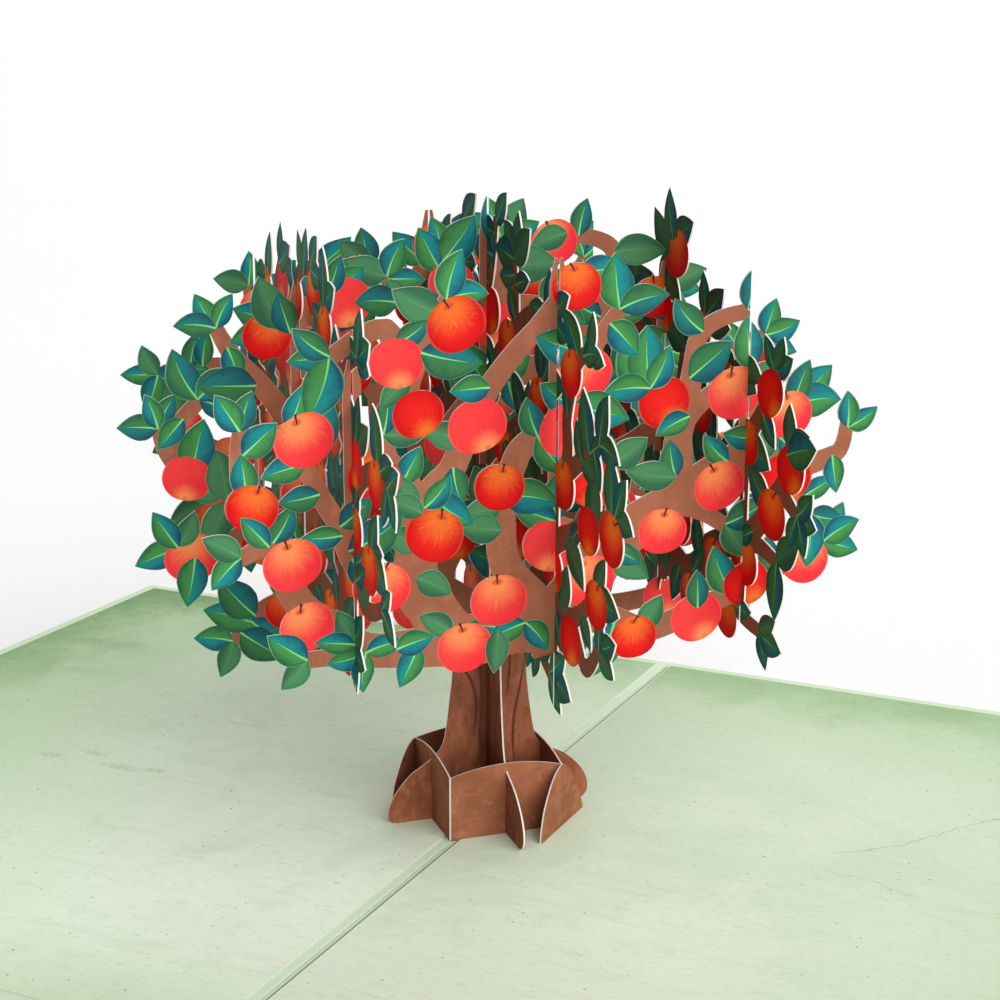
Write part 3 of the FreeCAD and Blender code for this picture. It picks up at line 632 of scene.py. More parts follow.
def slice_mesh(name, fam, off, kind, seed, drop):
    crossings = (-PITCH, 0.0, PITCH)
    motifs = build_slice(kind, seed, crossings, SPLIT, drop)
    layers = print_layers(kind, motifs, seed)
    voids = []
    for c in crossings:
        if drop > 0:
            voids.append((c - SLOT / 2, c + SLOT / 2, SPLIT - CLEAR, 9.0 * D))
        else:
            voids.append((c - SLOT / 2, c + SLOT / 2, -2.0, SPLIT + CLEAR))
    if kind == "centre":
        for c in (-WALL, WALL):
            voids.append((c - SLOT / 2, c + SLOT / 2, ROOT_SPLIT - CLEAR, 16.0))
    coords, faces = [], []
    for layer in layers:
        q = layer[1]
        if area_of(q) < 0:
            q = q[::-1]
        faces.append(list(range(len(coords), len(coords) + len(q))))
        coords.extend(Vector(p) for p in q)
    n_layers = len(layers)
    for x0, x1, z0, z1 in voids:
        faces.append(list(range(len(coords), len(coords) + 4)))
        coords.extend(Vector(p) for p in ((x0, z0), (x1, z0), (x1, z1), (x0, z1)))
    verts, _, tris, _, _, origin = delaunay_2d_cdt(coords, [], faces, 1, 1e-4, True)
    keep, top = [], []
    for t, o in zip(tris, origin):
        if not o or max(o) >= n_layers:
            continue
        a, b, c = (verts[i] for i in t)
        if abs((b.x - a.x) * (c.y - a.y) - (c.x - a.x) * (b.y - a.y)) < 1e-7:
            pass
        keep.append(tuple(t))
        top.append(max(o))
    # the largest piece that hangs together
    by_edge = {}
    for i, t in enumerate(keep):
        for a, b in ((t[0], t[1]), (t[1], t[2]), (t[2], t[0])):
            by_edge.setdefault((min(a, b), max(a, b)), []).append(i)
    seen = [-1] * len(keep)
    groups = []
    for i in range(len(keep)):
        if seen[i] >= 0:
            continue
        g, todo, size = len(groups), [i], 0.0
        seen[i] = g
        while todo:
            j = todo.pop()
            t = keep[j]
            a, b, c = (verts[k] for k in t)
            size += abs((b.x - a.x) * (c.y - a.y) - (c.x - a.x) * (b.y - a.y)) * 0.5
            for e in ((t[0], t[1]), (t[1], t[2]), (t[2], t[0])):
                for k in by_edge[(min(e), max(e))]:
                    if seen[k] < 0:
                        seen[k] = g
                        todo.append(k)
        groups.append(size)
    best = max(range(len(groups)), key=lambda k: groups[k])
    tri = [(t, p) for t, p, g in zip(keep, top, seen) if g == best]
    used = sorted({i for t, _ in tri for i in t})
    index = {v: k for k, v in enumerate(used)}
    nv = len(used)
    front = [world_of(fam, off, verts[i].x, verts[i].y, SHEET / 2) for i in used]
    back = [world_of(fam, off, verts[i].x, verts[i].y, -SHEET / 2) for i in used]
    # family A: s runs along u and the +v side faces away from u x z; family B: s runs along v
    flipped = fam == "A"
    fc, mats, src = [], [], []
    edge_count = {}
    for t, p in tri:
        a, b, c = t
        A, B, C = verts[a], verts[b], verts[c]
        if (B.x - A.x) * (C.y - A.y) - (C.x - A.x) * (B.y - A.y) < 0:
            a, b, c = a, c, b
        for e in ((a, b), (b, c), (c, a)):
            edge_count[e] = p
        ia, ib, ic = index[a], index[b], index[c]
        lo, hi = (0, nv)
        # counter-clockwise in (s, z) faces +u x... side: see the walls below
        if flipped:
            fc.append((ia, ib, ic))
            fc.append((ia + nv, ic + nv, ib + nv))
        else:
            fc.append((ia, ic, ib))
            fc.append((ia + nv, ib + nv, ic + nv))
        mats += [WHAT[layers[p][0]]] * 2
        src += [(p, (a, b, c), 1), (p, (a, c, b), -1)]
    n_flat = len(fc)
    for (a, b), p in edge_count.items():
        if (b, a) in edge_count:
            continue
        ia, ib = index[a], index[b]
        if flipped:
            fc.append((ib, ia, ia + nv, ib + nv))
        else:
            fc.append((ia, ib, ib + nv, ia + nv))
        mats.append(WHAT["core"])
        src.append((p, (), 0))
    me = bpy.data.meshes.new(name + "_print")
    me.from_pydata(front + back, [], fc)
    me.polygons.foreach_set("material_index", mats)
    me.polygons.foreach_set("use_smooth", [False] * len(fc))
    place = me.attributes.new("sheet_mm", "FLOAT_VECTOR", "POINT")
    flat = []
    for side in (1.0, -1.0):
        for i in used:
            flat += [verts[i].x, verts[i].y, side]
    place.data.foreach_set("vector", flat)
    loc = me.attributes.new("motif_mm", "FLOAT_VECTOR", "CORNER")
    va = me.attributes.new("motif_a", "FLOAT_VECTOR", "FACE")
    vb = me.attributes.new("motif_b", "FLOAT_VECTOR", "FACE")
    lv, av, bv = [], [], []
    n_all = nv
    for poly, (p, _, _) in zip(fc, src):
        _, _, (ox, oz, ang, sc), a, b = layers[p]
        ca, sa = math.cos(ang), math.sin(ang)
        for i in poly:
            v = verts[used[i % n_all]]
            x, y = v.x - ox, v.y - oz
            lv += [(x * ca + y * sa) * sc, (-x * sa + y * ca) * sc, 0.0]
        av += list(a)
        bv += list(b)
    loc.data.foreach_set("vector", lv)
    va.data.foreach_set("vector", av)
    vb.data.foreach_set("vector", bv)
    me.validate()
    me.update()
    ob = bpy.data.objects.new(name + "_print", me)
    bpy.context.scene.collection.objects.link(ob)
    return ob


# ---- short hand for material nodes ---------------------------------------------
def lin(*rgb):
    """Linear colour from 0..255 sRGB."""
    return tuple((c / 255.0 / 12.92) if c <= 10.31 else ((c / 255.0 + 0.055) / 1.055) ** 2.4 for c in rgb)


class Nodes:
    def __init__(self, name):
        self.mat = bpy.data.materials.new(name)
        self.mat.use_nodes = True
        self.t = self.mat.node_tree
        self.t.nodes.clear()
        self.out = self.t.nodes.new("ShaderNodeOutputMaterial")
        self.bsdf = self.t.nodes.new("ShaderNodeBsdfPrincipled")
        self.t.links.new(self.bsdf.outputs[0], self.out.inputs[0])

    def new(self, kind, **props):
        n = self.t.nodes.new(kind)
        for k, v in props.items():
            setattr(n, k, v)
        return n

    def put(self, sock, v):
        if isinstance(v, bpy.types.NodeSocket):
            self.t.links.new(v, sock)
        elif isinstance(v, tuple):
            sock.default_value = (v[0], v[1], v[2], 1.0) if sock.type == "RGBA" else v
        else:
            sock.default_value = v

    def m(self, op, a, b=None, c=None, clamp=False):
        n = self.new("ShaderNodeMath", operation=op, use_clamp=clamp)
        for i, v in enumerate((a, b, c)):
            if v is not None:
                self.put(n.inputs[i], v)
        return n.outputs[0]

    def add(self, a, b):
        return self.m("ADD", a, b)

    def sub(self, a, b):
        return self.m("SUBTRACT", a, b)

    def mul(self, a, b):
        return self.m("MULTIPLY", a, b)

    def ramp01(self, v, lo, hi, smooth=True):
        """0 at lo and 1 at hi; lo may be above hi."""
        n = self.new("ShaderNodeMapRange", interpolation_type="SMOOTHSTEP" if smooth else "LINEAR")
        self.put(n.inputs[0], v)
        self.put(n.inputs[1], lo)
        self.put(n.inputs[2], hi)
        return n.outputs[0]

    def mix(self, f, a, b, how="MIX"):
        n = self.new("ShaderNodeMix", data_type="RGBA", blend_type=how)
        self.put(n.inputs[0], f)
        self.put(n.inputs[6], a)
        self.put(n.inputs[7], b)
        return n.outputs[2]

    def vec(self, x, y, z=0.0):
        n = self.new("ShaderNodeCombineXYZ")
        for i, v in enumerate((x, y, z)):
            self.put(n.inputs[i], v)
        return n.outputs[0]

    def split(self, v):
        n = self.new("ShaderNodeSeparateXYZ")
        self.put(n.inputs[0], v)
        return n.outputs

    def vm(self, op, a, b=None, scale=None):
        n = self.new("ShaderNodeVectorMath", operation=op)
        self.put(n.inputs[0], a)
        if b is not None:
            self.put(n.inputs[1], b)
        if scale is not None:
            self.put(n.inputs[3], scale)
        return n

    def attr(self, name):
        return self.new("ShaderNodeAttribute", attribute_name=name).outputs["Vector"]

    def noise(self, v, scale, detail=2.0, rough=0.5, dist=0.0):
        n = self.new("ShaderNodeTexNoise")
        self.put(n.inputs["Vector"], v)
        n.inputs["Scale"].default_value = scale
        n.inputs["Detail"].default_value = detail
        n.inputs["Roughness"].default_value = rough
        n.inputs["Distortion"].default_value = dist
        return n.outputs["Fac"] if "Fac" in n.outputs else n.outputs[0]

    def stretch(self, v, x, y, z=1.0):
        return self.vm("MULTIPLY", v, (x, y, z)).outputs[0]

    def curve(self, v, points):
        n = self.new("ShaderNodeFloatCurve")
        c = n.mapping.curves[0]
        while len(c.points) > 2:
            c.points.remove(c.points[1])
        c.points[0].location = points[0]
        c.points[1].location = points[-1]
        for p in points[1:-1]:
            c.points.new(*p)
        n.mapping.update()
        self.put(n.inputs["Value"], v)
        return n.outputs[0]

    def finish(self, colour, bump_height, bump, rough, rough_var=None, spec=0.3, dist=0.00004):
        b = self.bsdf
        self.put(b.inputs["Base Color"], colour)
        b.inputs["Specular IOR Level"].default_value = spec
        if rough_var is None:
            b.inputs["Roughness"].default_value = rough
        else:
            self.put(b.inputs["Roughness"], rough_var)
        if bump_height is not None:
            n = self.new("ShaderNodeBump")
            n.inputs["Strength"].default_value = bump
            n.inputs["Distance"].default_value = dist
            self.put(n.inputs["Height"], bump_height)
            self.t.links.new(n.outputs[0], b.inputs["Normal"])
        return self.mat


def paper_grain(n, v):
    """Fibre height of uncoated card; v in millimetres."""
    a = n.noise(v, 5.5, 3.0, 0.6)
    b = n.noise(n.stretch(v, 1.0, 2.2, 1.0), 1.3, 2.0, 0.5)
    return n.add(n.mul(a, 0.65), n.mul(b, 0.35))


# ---- print materials of the tree -------------------------------------------------
def shaded_reverse(n, sheet):
    """1 on the reverse of a sheet, where painted shade deepens the print, and 0 on its front."""
    return n.m("LESS_THAN", n.split(sheet)[2], 0.0)


def leaf_material():
    n = Nodes("leaf_print")
    x, y, _ = n.split(n.attr("motif_mm"))
    ln, wd, bend = n.split(n.attr("motif_a"))
    flip, r, _ = n.split(n.attr("motif_b"))
    sheet = n.attr("sheet_mm")
    t = n.m("DIVIDE", x, ln)
    tt = n.m("MAXIMUM", 0.0, n.m("MINIMUM", 1.0, t))
    off = n.mul(n.mul(n.mul(bend, ln), 0.5), n.sub(n.mul(tt, tt), tt))
    yc = n.sub(y, off)
    ay = n.m("ABSOLUTE", yc)
    prof = n.curve(tt, [(0.0, 0.0), (0.02, 0.235), (0.06, 0.40)] + [(a, b) for a, b in zip(LEAF_T[2:-1], LEAF_W[2:-1])] + [(1.0, 0.0)])
    half = n.mul(n.mul(wd, 0.5), prof)
    slope = n.m("MULTIPLY", n.m("DIVIDE", wd, ln),
                n.add(n.ramp01(tt, 0.30, 0.0), n.mul(n.ramp01(tt, 0.62, 1.0), 1.0)))
    k = n.m("INVERSE_SQRT", n.add(1.0, n.mul(slope, slope)))
    edge = n.mul(n.sub(half, ay), k)
    side = n.mul(yc, flip)
    yn = n.m("DIVIDE", ay, n.m("MAXIMUM", half, 0.05))
    soft = n.noise(sheet, 0.55, 3.0, 0.55)
    fine = n.noise(n.attr("motif_mm"), 1.7, 3.0, 0.6)
    # cool half: teal by the midrib, blue towards the rim and the base
    cool = n.mix(n.ramp01(n.add(n.mul(yn, 0.75), n.add(n.mul(n.sub(soft, 0.5), 0.7), n.mul(n.sub(0.5, tt), 0.7))), 0.05, 0.95),
                 lin(30, 138, 140), lin(34, 78, 110))
    # warm half: fresh green by the midrib, deeper outside
    warm = n.mix(n.ramp01(n.add(n.mul(yn, 0.9), n.mul(n.sub(soft, 0.5), 0.8)), 0.10, 1.05),
                 lin(74, 144, 80), lin(47, 103, 64))
    warm = n.mix(n.mul(n.ramp01(tt, 0.55, 1.0), 0.45), warm, lin(54, 130, 88))
    colour = n.mix(n.ramp01(side, -0.05, 0.05), warm, cool)
    # some leaves show a plain grey green back
    dull = n.mix(n.ramp01(n.add(yn, n.mul(side, 0.5)), 0.0, 1.4), lin(78, 134, 92), lin(58, 106, 76))
    is_dull = n.m("LESS_THAN", r, 0.21)
    colour = n.mix(is_dull, colour, dull)
    # a few are older and deeper
    deep = n.m("GREATER_THAN", r, 0.76)
    colour = n.mix(n.mul(deep, 0.36), colour, lin(40, 76, 72))
    colour = n.mix(n.mul(n.ramp01(edge, 0.95, 0.15), 0.38), colour, lin(30, 84, 80))
    # midrib and rim
    vein_w = n.m("MAXIMUM", n.sub(0.19, n.mul(tt, 0.235)), 0.0)
    vein = n.ramp01(n.sub(ay, vein_w), 0.05, -0.03)
    vein = n.mul(vein, n.m("GREATER_THAN", vein_w, 0.012))
    vein = n.mul(vein, n.sub(1.0, n.mul(is_dull, 0.85)))
    colour = n.mix(n.mul(vein, 0.90), colour, lin(140, 222, 136))
    rim = n.ramp01(edge, 0.15, 0.05)
    colour = n.mix(n.mul(rim, n.sub(0.60, n.mul(deep, 0.25))), colour, lin(112, 186, 124))
    # faint side veins and print mottle
    colour = n.mix(0.16, colour, n.mix(fine, lin(20, 60, 50), lin(190, 235, 190)), "OVERLAY")
    # painted shade: the reverse of each sheet is drawn darker
    colour = n.mix(n.mul(shaded_reverse(n, sheet), 0.42), colour, lin(14, 46, 36))
    g = paper_grain(n, sheet)
    return n.finish(colour, g, 0.16, 0.6, n.add(0.56, n.mul(g, 0.14)), 0.10)


def apple_material():
    n = Nodes("apple_print")
    p = n.attr("motif_mm")
    x, y, _ = n.split(p)
    rad, var, ph = n.split(n.attr("motif_a"))
    _, r, _ = n.split(n.attr("motif_b"))
    sheet = n.attr("sheet_mm")
    is_low = n.m("GREATER_THAN", var, 0.5)
    # centre of the dimple, or of the flower end on apples seen from below
    cx = n.add(0.02, n.mul(is_low, 0.12))
    cy = n.add(0.60, n.mul(is_low, -1.42))
    qx, qy = n.sub(x, cx), n.sub(y, cy)
    rr = n.m("SQRT", n.add(n.mul(qx, qx), n.mul(qy, qy)))
    ang = n.m("ARCTAN2", qy, qx)
    whole = n.m("SQRT", n.add(n.mul(x, x), n.mul(y, y)))
    soft = n.noise(sheet, 0.45, 2.0, 0.5)
    body = n.mix(n.ramp01(n.add(n.sub(n.mul(x, 0.5), n.mul(y, 0.35)), n.mul(n.sub(soft, 0.5), 0.8)), -0.7, 0.9),
                 lin(247, 68, 66), lin(238, 46, 56))
    deep_or_shaded_body = n.mix(n.ramp01(n.add(whole, n.mul(n.sub(soft, 0.5), 0.5)), 0.1, 1.1), lin(234, 34, 26), lin(208, 12, 16))
    # painted shade: on the reverse of a sheet every apple takes the deep body in deeper reds, with a deeper orange glow
    back = shaded_reverse(n, sheet)
    deep_or_shaded = n.m("MAXIMUM", n.m("GREATER_THAN", r, 0.60), back)
    deep_or_shaded_body = n.mix(back, deep_or_shaded_body, n.mix(n.ramp01(whole, 0.2, 1.1), lin(238, 22, 12), lin(206, 6, 6)))
    colour = n.mix(deep_or_shaded, body, deep_or_shaded_body)
    # warm glow round the dimple, broken into fine streaks
    sv = n.vec(n.mul(ang, 4.6), n.mul(rr, 0.9), n.mul(r, 37.0))
    streak = n.noise(sv, 1.55, 2.0, 0.62)
    reach = n.add(1.0, n.mul(n.sub(streak, 0.5), n.sub(0.62, n.mul(is_low, 0.40))))
    reach = n.sub(reach, n.mul(is_low, 0.36))
    glow = n.ramp01(n.m("DIVIDE", rr, reach), 1.15, 0.05)
    colour = n.mix(n.mul(glow, n.add(0.90, n.mul(is_low, 0.06))), colour, n.mix(deep_or_shaded, lin(255, 152, 90), n.mix(back, lin(236, 116, 40), lin(248, 122, 22))))
    fine = n.noise(n.vec(n.mul(ang, 14.0), n.mul(rr, 1.4), n.mul(r, 11.0)), 1.9, 1.0, 0.5)
    thin = n.mul(n.ramp01(fine, 0.58, 0.74), n.mul(n.ramp01(rr, 1.20, 0.45), n.ramp01(rr, 0.12, 0.34)))
    thin = n.mul(thin, n.sub(1.0, n.mul(is_low, 0.65)))
    colour = n.mix(n.mul(thin, 0.34), colour, lin(255, 186, 112))
    dark = n.mul(n.ramp01(fine, 0.42, 0.28), n.mul(n.ramp01(rr, 1.05, 0.5), n.ramp01(rr, 0.14, 0.36)))
    dark = n.mul(dark, n.sub(1.0, n.mul(is_low, 0.75)))
    colour = n.mix(n.mul(dark, 0.22), colour, lin(214, 40, 30))
    # the dimple: a small red hollow, only where the stem end shows
    ey = n.m("DIVIDE", n.sub(qy, 0.06), 0.62)
    dim = n.m("SQRT", n.add(n.mul(qx, qx), n.mul(ey, ey)))
    hollow = n.mul(n.ramp01(dim, 0.26, 0.10), n.sub(1.0, is_low))
    colour = n.mix(n.mul(hollow, 0.75), colour, lin(206, 62, 42))
    # flower end on the underside
    star = n.mul(n.ramp01(rr, 0.15, 0.06), is_low)
    colour = n.mix(n.mul(star, 0.5), colour, lin(200, 96, 44))
    # edge turns a little deeper, with a thin pale print line
    colour = n.mix(n.mul(n.ramp01(whole, 0.74, 1.0), 0.34), colour, n.mix(deep_or_shaded, lin(232, 34, 58), lin(168, 8, 18)))
    colour = n.mix(n.mul(n.ramp01(whole, 0.955, 0.985), 0.20), colour, lin(255, 140, 112))
    g = paper_grain(n, sheet)
    return n.finish(colour, g, 0.14, 0.6, n.add(0.54, n.mul(g, 0.14)), 0.12)


def bark_colour(n, v, base=(170, 104, 74), low=(136, 78, 53), high=(190, 126, 92)):
    """Watercolour brown with soft blotches and small light speckles; v in mm."""
    big = n.noise(v, 0.11, 3.0, 0.6, 0.4)
    mid = n.noise(n.stretch(v, 1.0, 0.45, 1.0), 0.42, 4.0, 0.65, 0.5)
    dots = n.noise(v, 1.5, 3.0, 0.7)
    c = n.mix(n.ramp01(big, 0.36, 0.66), lin(*base), lin(*low))
    c = n.mix(n.mul(n.ramp01(mid, 0.50, 0.72), 0.55), c, lin(*high))
    c = n.mix(n.mul(n.ramp01(mid, 0.46, 0.28), 0.35), c, lin(*low))
    patch = n.ramp01(n.noise(v, 0.16, 2.0, 0.5), 0.48, 0.66)
    c = n.mix(n.mul(n.mul(n.ramp01(dots, 0.52, 0.68), patch), 0.20), c, lin(206, 152, 112))
    c = n.mix(n.mul(n.mul(n.ramp01(dots, 0.44, 0.33), patch), 0.16), c, lin(104, 60, 42))
    return c


def bark_material():
    n = Nodes("bark_print")
    v = n.attr("sheet_mm")
    s, z, _ = n.split(v)
    c = bark_colour(n, v)
    # the crown's branches are paler than the foot of the trunk
    c = n.mix(n.mul(n.ramp01(z, 6.0, 44.0), 0.55), c, lin(164, 103, 80))
    # patchy paint on the trunk
    low_down = n.ramp01(z, 44.0, 34.0)
    blot = n.noise(n.stretch(v, 1.0, 0.7, 1.0), 0.30, 4.0, 0.62, 0.6)
    c = n.mix(n.mul(n.mul(n.ramp01(blot, 0.50, 0.66), low_down), 0.45), c, lin(194, 122, 80))
    c = n.mix(n.mul(n.mul(n.ramp01(blot, 0.47, 0.34), low_down), 0.40), c, lin(112, 66, 46))
    # the middle of the trunk, where the centre slice of the other family crosses it, is darker: partly its print and
    # partly painted shade from that slice
    mid = n.mul(n.ramp01(n.m("ABSOLUTE", n.add(s, n.mul(n.sub(n.noise(v, 0.3, 2.0), 0.5), 2.4))), 3.4, 0.4), n.ramp01(z, 42.0, 30.0))
    c = n.mix(n.mul(mid, 0.62), c, lin(92, 52, 38))
    fibre = n.noise(n.stretch(v, 2.4, 0.35, 1.0), 1.0, 3.0, 0.6)
    c = n.mix(n.mul(n.ramp01(fibre, 0.52, 0.74), 0.16), c, lin(110, 64, 46))
    # painted shade: the reverse of each sheet is drawn darker
    c = n.mix(n.mul(shaded_reverse(n, v), 0.50), c, lin(84, 40, 26))
    g = paper_grain(n, v)
    return n.finish(c, n.add(g, n.mul(fibre, 0.3)), 0.18, 0.66, n.add(0.6, n.mul(g, 0.14)), 0.08)


def dark_material():
    n = Nodes("grain_print")
    v = n.attr("sheet_mm")
    # stems of the apples are near black, strokes on the trunk a muted red brown
    stem, _, _ = n.split(n.attr("motif_a"))
    soft = n.noise(v, 1.2, 2.0, 0.6)
    c = n.mix(stem, n.mix(soft, lin(58, 30, 22), lin(104, 56, 44)), n.mix(soft, lin(92, 50, 42), lin(126, 74, 60)))
    g = paper_grain(n, v)
    return n.finish(c, g, 0.14, 0.66, n.add(0.6, n.mul(g, 0.14)), 0.08)


def core_colour(n, v):
    fib = n.noise(v, 3.2, 3.0, 0.6)
    return n.mix(n.ramp01(fib, 0.3, 0.7), lin(236, 218, 210), lin(250, 242, 236))


def core_material():
    n = Nodes("cut_edge")
    v = n.attr("sheet_mm")
    c = core_colour(n, v)
    g = n.noise(v, 4.0, 3.0, 0.6)
    return n.finish(c, g, 0.3, 0.8, n.add(0.72, n.mul(g, 0.2)), 0.08)


def sheet_or_edge(n, normals, printed, plain, least=0.5):
    """Print on the faces square to one of the normals, bare card on the cut edges."""
    geo = n.new("ShaderNodeNewGeometry")
    most = None
    for normal in normals:
        d = n.m("ABSOLUTE", n.vm("DOT_PRODUCT", geo.outputs["True Normal"], normal).outputs["Value"])
        most = d if most is None else n.m("MAXIMUM", most, d)
    return n.mix(n.m("GREATER_THAN", most, least), plain, printed)


def root_material(name, normals, bent):
    n = Nodes(name)
    obj = n.new("ShaderNodeTexCoord").outputs["Object"]
    v = n.vm("SCALE", obj, scale=1000.0).outputs[0]
    c = bark_colour(n, v, (172, 108, 78), (146, 90, 64), (188, 124, 92))
    _, y, z = n.split(v)
    # painted shade along the foot of the walls and supports, where they stand on the page
    c = n.mix(n.mul(n.ramp01(z, 2.6, 0.9), 0.22), c, lin(112, 68, 50))
    if bent:
        # painted shade: the two walls that face front left and back right are drawn a shade deeper
        geo = n.new("ShaderNodeNewGeometry")
        shaded_wall_facing = n.m("ABSOLUTE", n.vm("DOT_PRODUCT", geo.outputs["True Normal"], (1 / R2, 1 / R2, 0.0)).outputs["Value"])
        c = n.mix(n.mul(n.m("GREATER_THAN", shaded_wall_facing, 0.5), 0.30), c, lin(104, 66, 42))
    else:
        # painted shade: a darker fold line down the middle of a support
        c = n.mix(n.mul(n.ramp01(n.m("ABSOLUTE", y), 0.22, 0.08), 0.35), c, lin(96, 54, 40))
    c = sheet_or_edge(n, normals, c, core_colour(n, v), 0.85)
    g = paper_grain(n, v)
    return n.finish(c, g, 0.2, 0.66, n.add(0.6, n.mul(g, 0.16)), 0.08)


# ---- the card ----------------------------------------------------------------------
def cover_material():
    n = Nodes("cover_card")
    obj = n.new("ShaderNodeTexCoord").outputs["Object"]
    v = n.vm("SCALE", obj, scale=1000.0).outputs[0]
    x, y, z = n.split(v)
    big = n.noise(v, 0.03, 3.0, 0.5)
    c = n.mix(big, lin(208, 228, 197), lin(219, 237, 208))
    streak = n.noise(n.stretch(v, 0.05, 0.45, 1.0), 1.0, 3.0, 0.6)
    c = n.mix(n.mul(n.ramp01(streak, 0.5, 0.8), 0.25), c, lin(190, 210, 176))
    # the strip along the fold is cleaner, with a faint darker line along the fold itself; painted shade darkens the
    # strip towards the right page, and a painted shadow line lies along the right liner's cut edge
    ax = n.m("ABSOLUTE", x)
    c = n.mix(n.mul(n.ramp01(ax, 3.2, 2.2), 0.60), c, lin(223, 240, 214))
    c = n.mix(n.mul(n.ramp01(ax, 0.45, 0.0), 0.12), c, lin(190, 210, 180))
    beside = n.ramp01(n.m("ABSOLUTE", y), 97.2, 96.6)
    c = n.mix(n.mul(n.mul(n.ramp01(x, -0.3, 1.4), beside), 0.34), c, lin(168, 190, 156))
    c = n.mix(n.mul(n.mul(n.ramp01(n.m("ABSOLUTE", n.sub(x, 1.36)), 0.56, 0.32), beside), 0.84), c, lin(98, 118, 86))
    c = sheet_or_edge(n, ((0.0, 0.0, 1.0),), c, core_colour(n, v))
    g = paper_grain(n, v)
    return n.finish(c, g, 0.22, 0.66, n.add(0.6, n.mul(g, 0.14)), 0.12)


def liner_material(side):
    n = Nodes("liner_left_print" if side < 0 else "liner_right_print")
    obj = n.new("ShaderNodeTexCoord").outputs["Object"]
    v = n.vm("SCALE", obj, scale=1000.0).outputs[0]
    x, y, z = n.split(v)
    flat = n.vec(x, y, 7.0 * side)
    big = n.noise(flat, 0.022, 4.0, 0.55, 0.3)
    cloud = n.noise(flat, 0.07, 5.0, 0.62, 0.6)
    streak = n.noise(n.stretch(flat, 0.055, 0.42, 1.0), 1.0, 4.0, 0.62, 0.35)
    fine = n.noise(n.stretch(flat, 0.22, 1.9, 1.0), 1.0, 4.0, 0.7, 0.3)
    # painted light: the left page is drawn paler than the right, lifting the shadow the tree casts on it
    if side < 0:
        c = n.mix(n.ramp01(big, 0.34, 0.70), lin(231, 247, 222), lin(223, 241, 213))
    else:
        c = n.mix(n.ramp01(big, 0.34, 0.70), lin(212, 228, 203), lin(204, 223, 194))
    # painted light: both pages are drawn paler towards the front, lifting the shadow the tree casts there
    near = n.ramp01(n.m("ABSOLUTE", x), 108.0, 30.0)
    yy = n.add(y, n.mul(n.sub(cloud, 0.5), 40.0))
    painted_front_light = n.mul(n.mul(n.ramp01(yy, 14.0, -46.0), n.sub(1.0, n.mul(n.ramp01(yy, -46.0, -84.0), 0.55 if side < 0 else 0.2))), near)
    c = n.mix(n.mul(painted_front_light, 0.95), c, lin(242, 254, 233) if side < 0 else lin(234, 246, 223))
    c = n.mix(n.mul(n.ramp01(cloud, 0.50, 0.72), 0.26), c, lin(198, 216, 184))
    c = n.mix(n.mul(n.ramp01(cloud, 0.46, 0.30), 0.30), c, lin(224, 234, 214))
    c = n.mix(n.mul(n.ramp01(streak, 0.50, 0.74), 0.26), c, lin(196, 213, 182))
    c = n.mix(n.mul(n.ramp01(streak, 0.46, 0.28), 0.30), c, lin(226, 235, 216))
    c = n.mix(n.mul(n.ramp01(fine, 0.54, 0.72), 0.18), c, lin(184, 204, 170))
    c = n.mix(n.mul(n.ramp01(fine, 0.44, 0.30), 0.22), c, lin(230, 238, 222))
    # the paler left page is toned back down towards its front left and its far left
    if side < 0:
        c = n.mix(n.mul(n.mul(n.ramp01(x, -38.0, -92.0), n.ramp01(y, 8.0, -40.0)), 0.62), c, lin(209, 231, 197))
        c = n.mix(n.mul(n.ramp01(x, -68.0, -118.0), 0.70), c, lin(203, 226, 190))
    # the print deepens to the outer and back edges and in the corners
    dx = n.sub(147.0, n.m("ABSOLUTE", x))
    dyb = n.sub(97.0, y)
    dyf = n.add(97.0, y)
    d = n.m("SMOOTH_MIN", n.m("SMOOTH_MIN", n.mul(dx, 0.9), dyb, 18.0), n.add(n.mul(dyf, 1.4), 24.0), 18.0)
    d = n.add(d, n.mul(n.sub(cloud, 0.5), 30.0))
    d = n.add(d, n.mul(n.sub(streak, 0.5), 6.0))
    d = n.add(d, n.mul(n.sub(big, 0.5), 26.0))
    far_left = n.mul(n.ramp01(x, -40.0, -120.0), n.ramp01(y, -10.0, 80.0))
    c = n.mix(n.mul(n.ramp01(d, 58.0, 2.0), n.add(0.66, n.mul(far_left, 0.24))), c, n.mix(far_left, lin(180, 210, 162), lin(166, 196, 148)))
    c = n.mix(n.mul(n.ramp01(d, 26.0, -6.0), 0.80), c, n.mix(far_left, lin(144, 181, 127), lin(98, 140, 84)))
    # fine plaster-like mottle, a little drawn out along the page
    grit = n.noise(n.stretch(flat, 0.55, 1.25, 1.0), 1.0, 5.0, 0.78, 0.5)
    c = n.mix(n.mul(n.ramp01(grit, 0.52, 0.70), 0.30), c, lin(158, 186, 138))
    c = n.mix(n.mul(n.ramp01(grit, 0.47, 0.32), 0.26), c, lin(240, 247, 230))
    # specks
    vor = n.new("ShaderNodeTexVoronoi", voronoi_dimensions="2D", feature="F1")
    vor.inputs["Scale"].default_value = 0.20
    vor.inputs["Randomness"].default_value = 1.0
    n.put(vor.inputs["Vector"], n.stretch(flat, 1.0, 1.25, 1.0))
    rc = n.split(vor.outputs["Color"])
    size = n.mul(n.m("POWER", rc[0], 3.0), 0.056)
    speck = n.m("LESS_THAN", n.add(vor.outputs["Distance"], n.mul(n.sub(n.noise(flat, 5.0, 1.0), 0.5), 0.016)), size)
    c = n.mix(n.mul(speck, n.mul(n.ramp01(rc[1], 0.1, 0.6), 0.75)), c, lin(124, 138, 104))
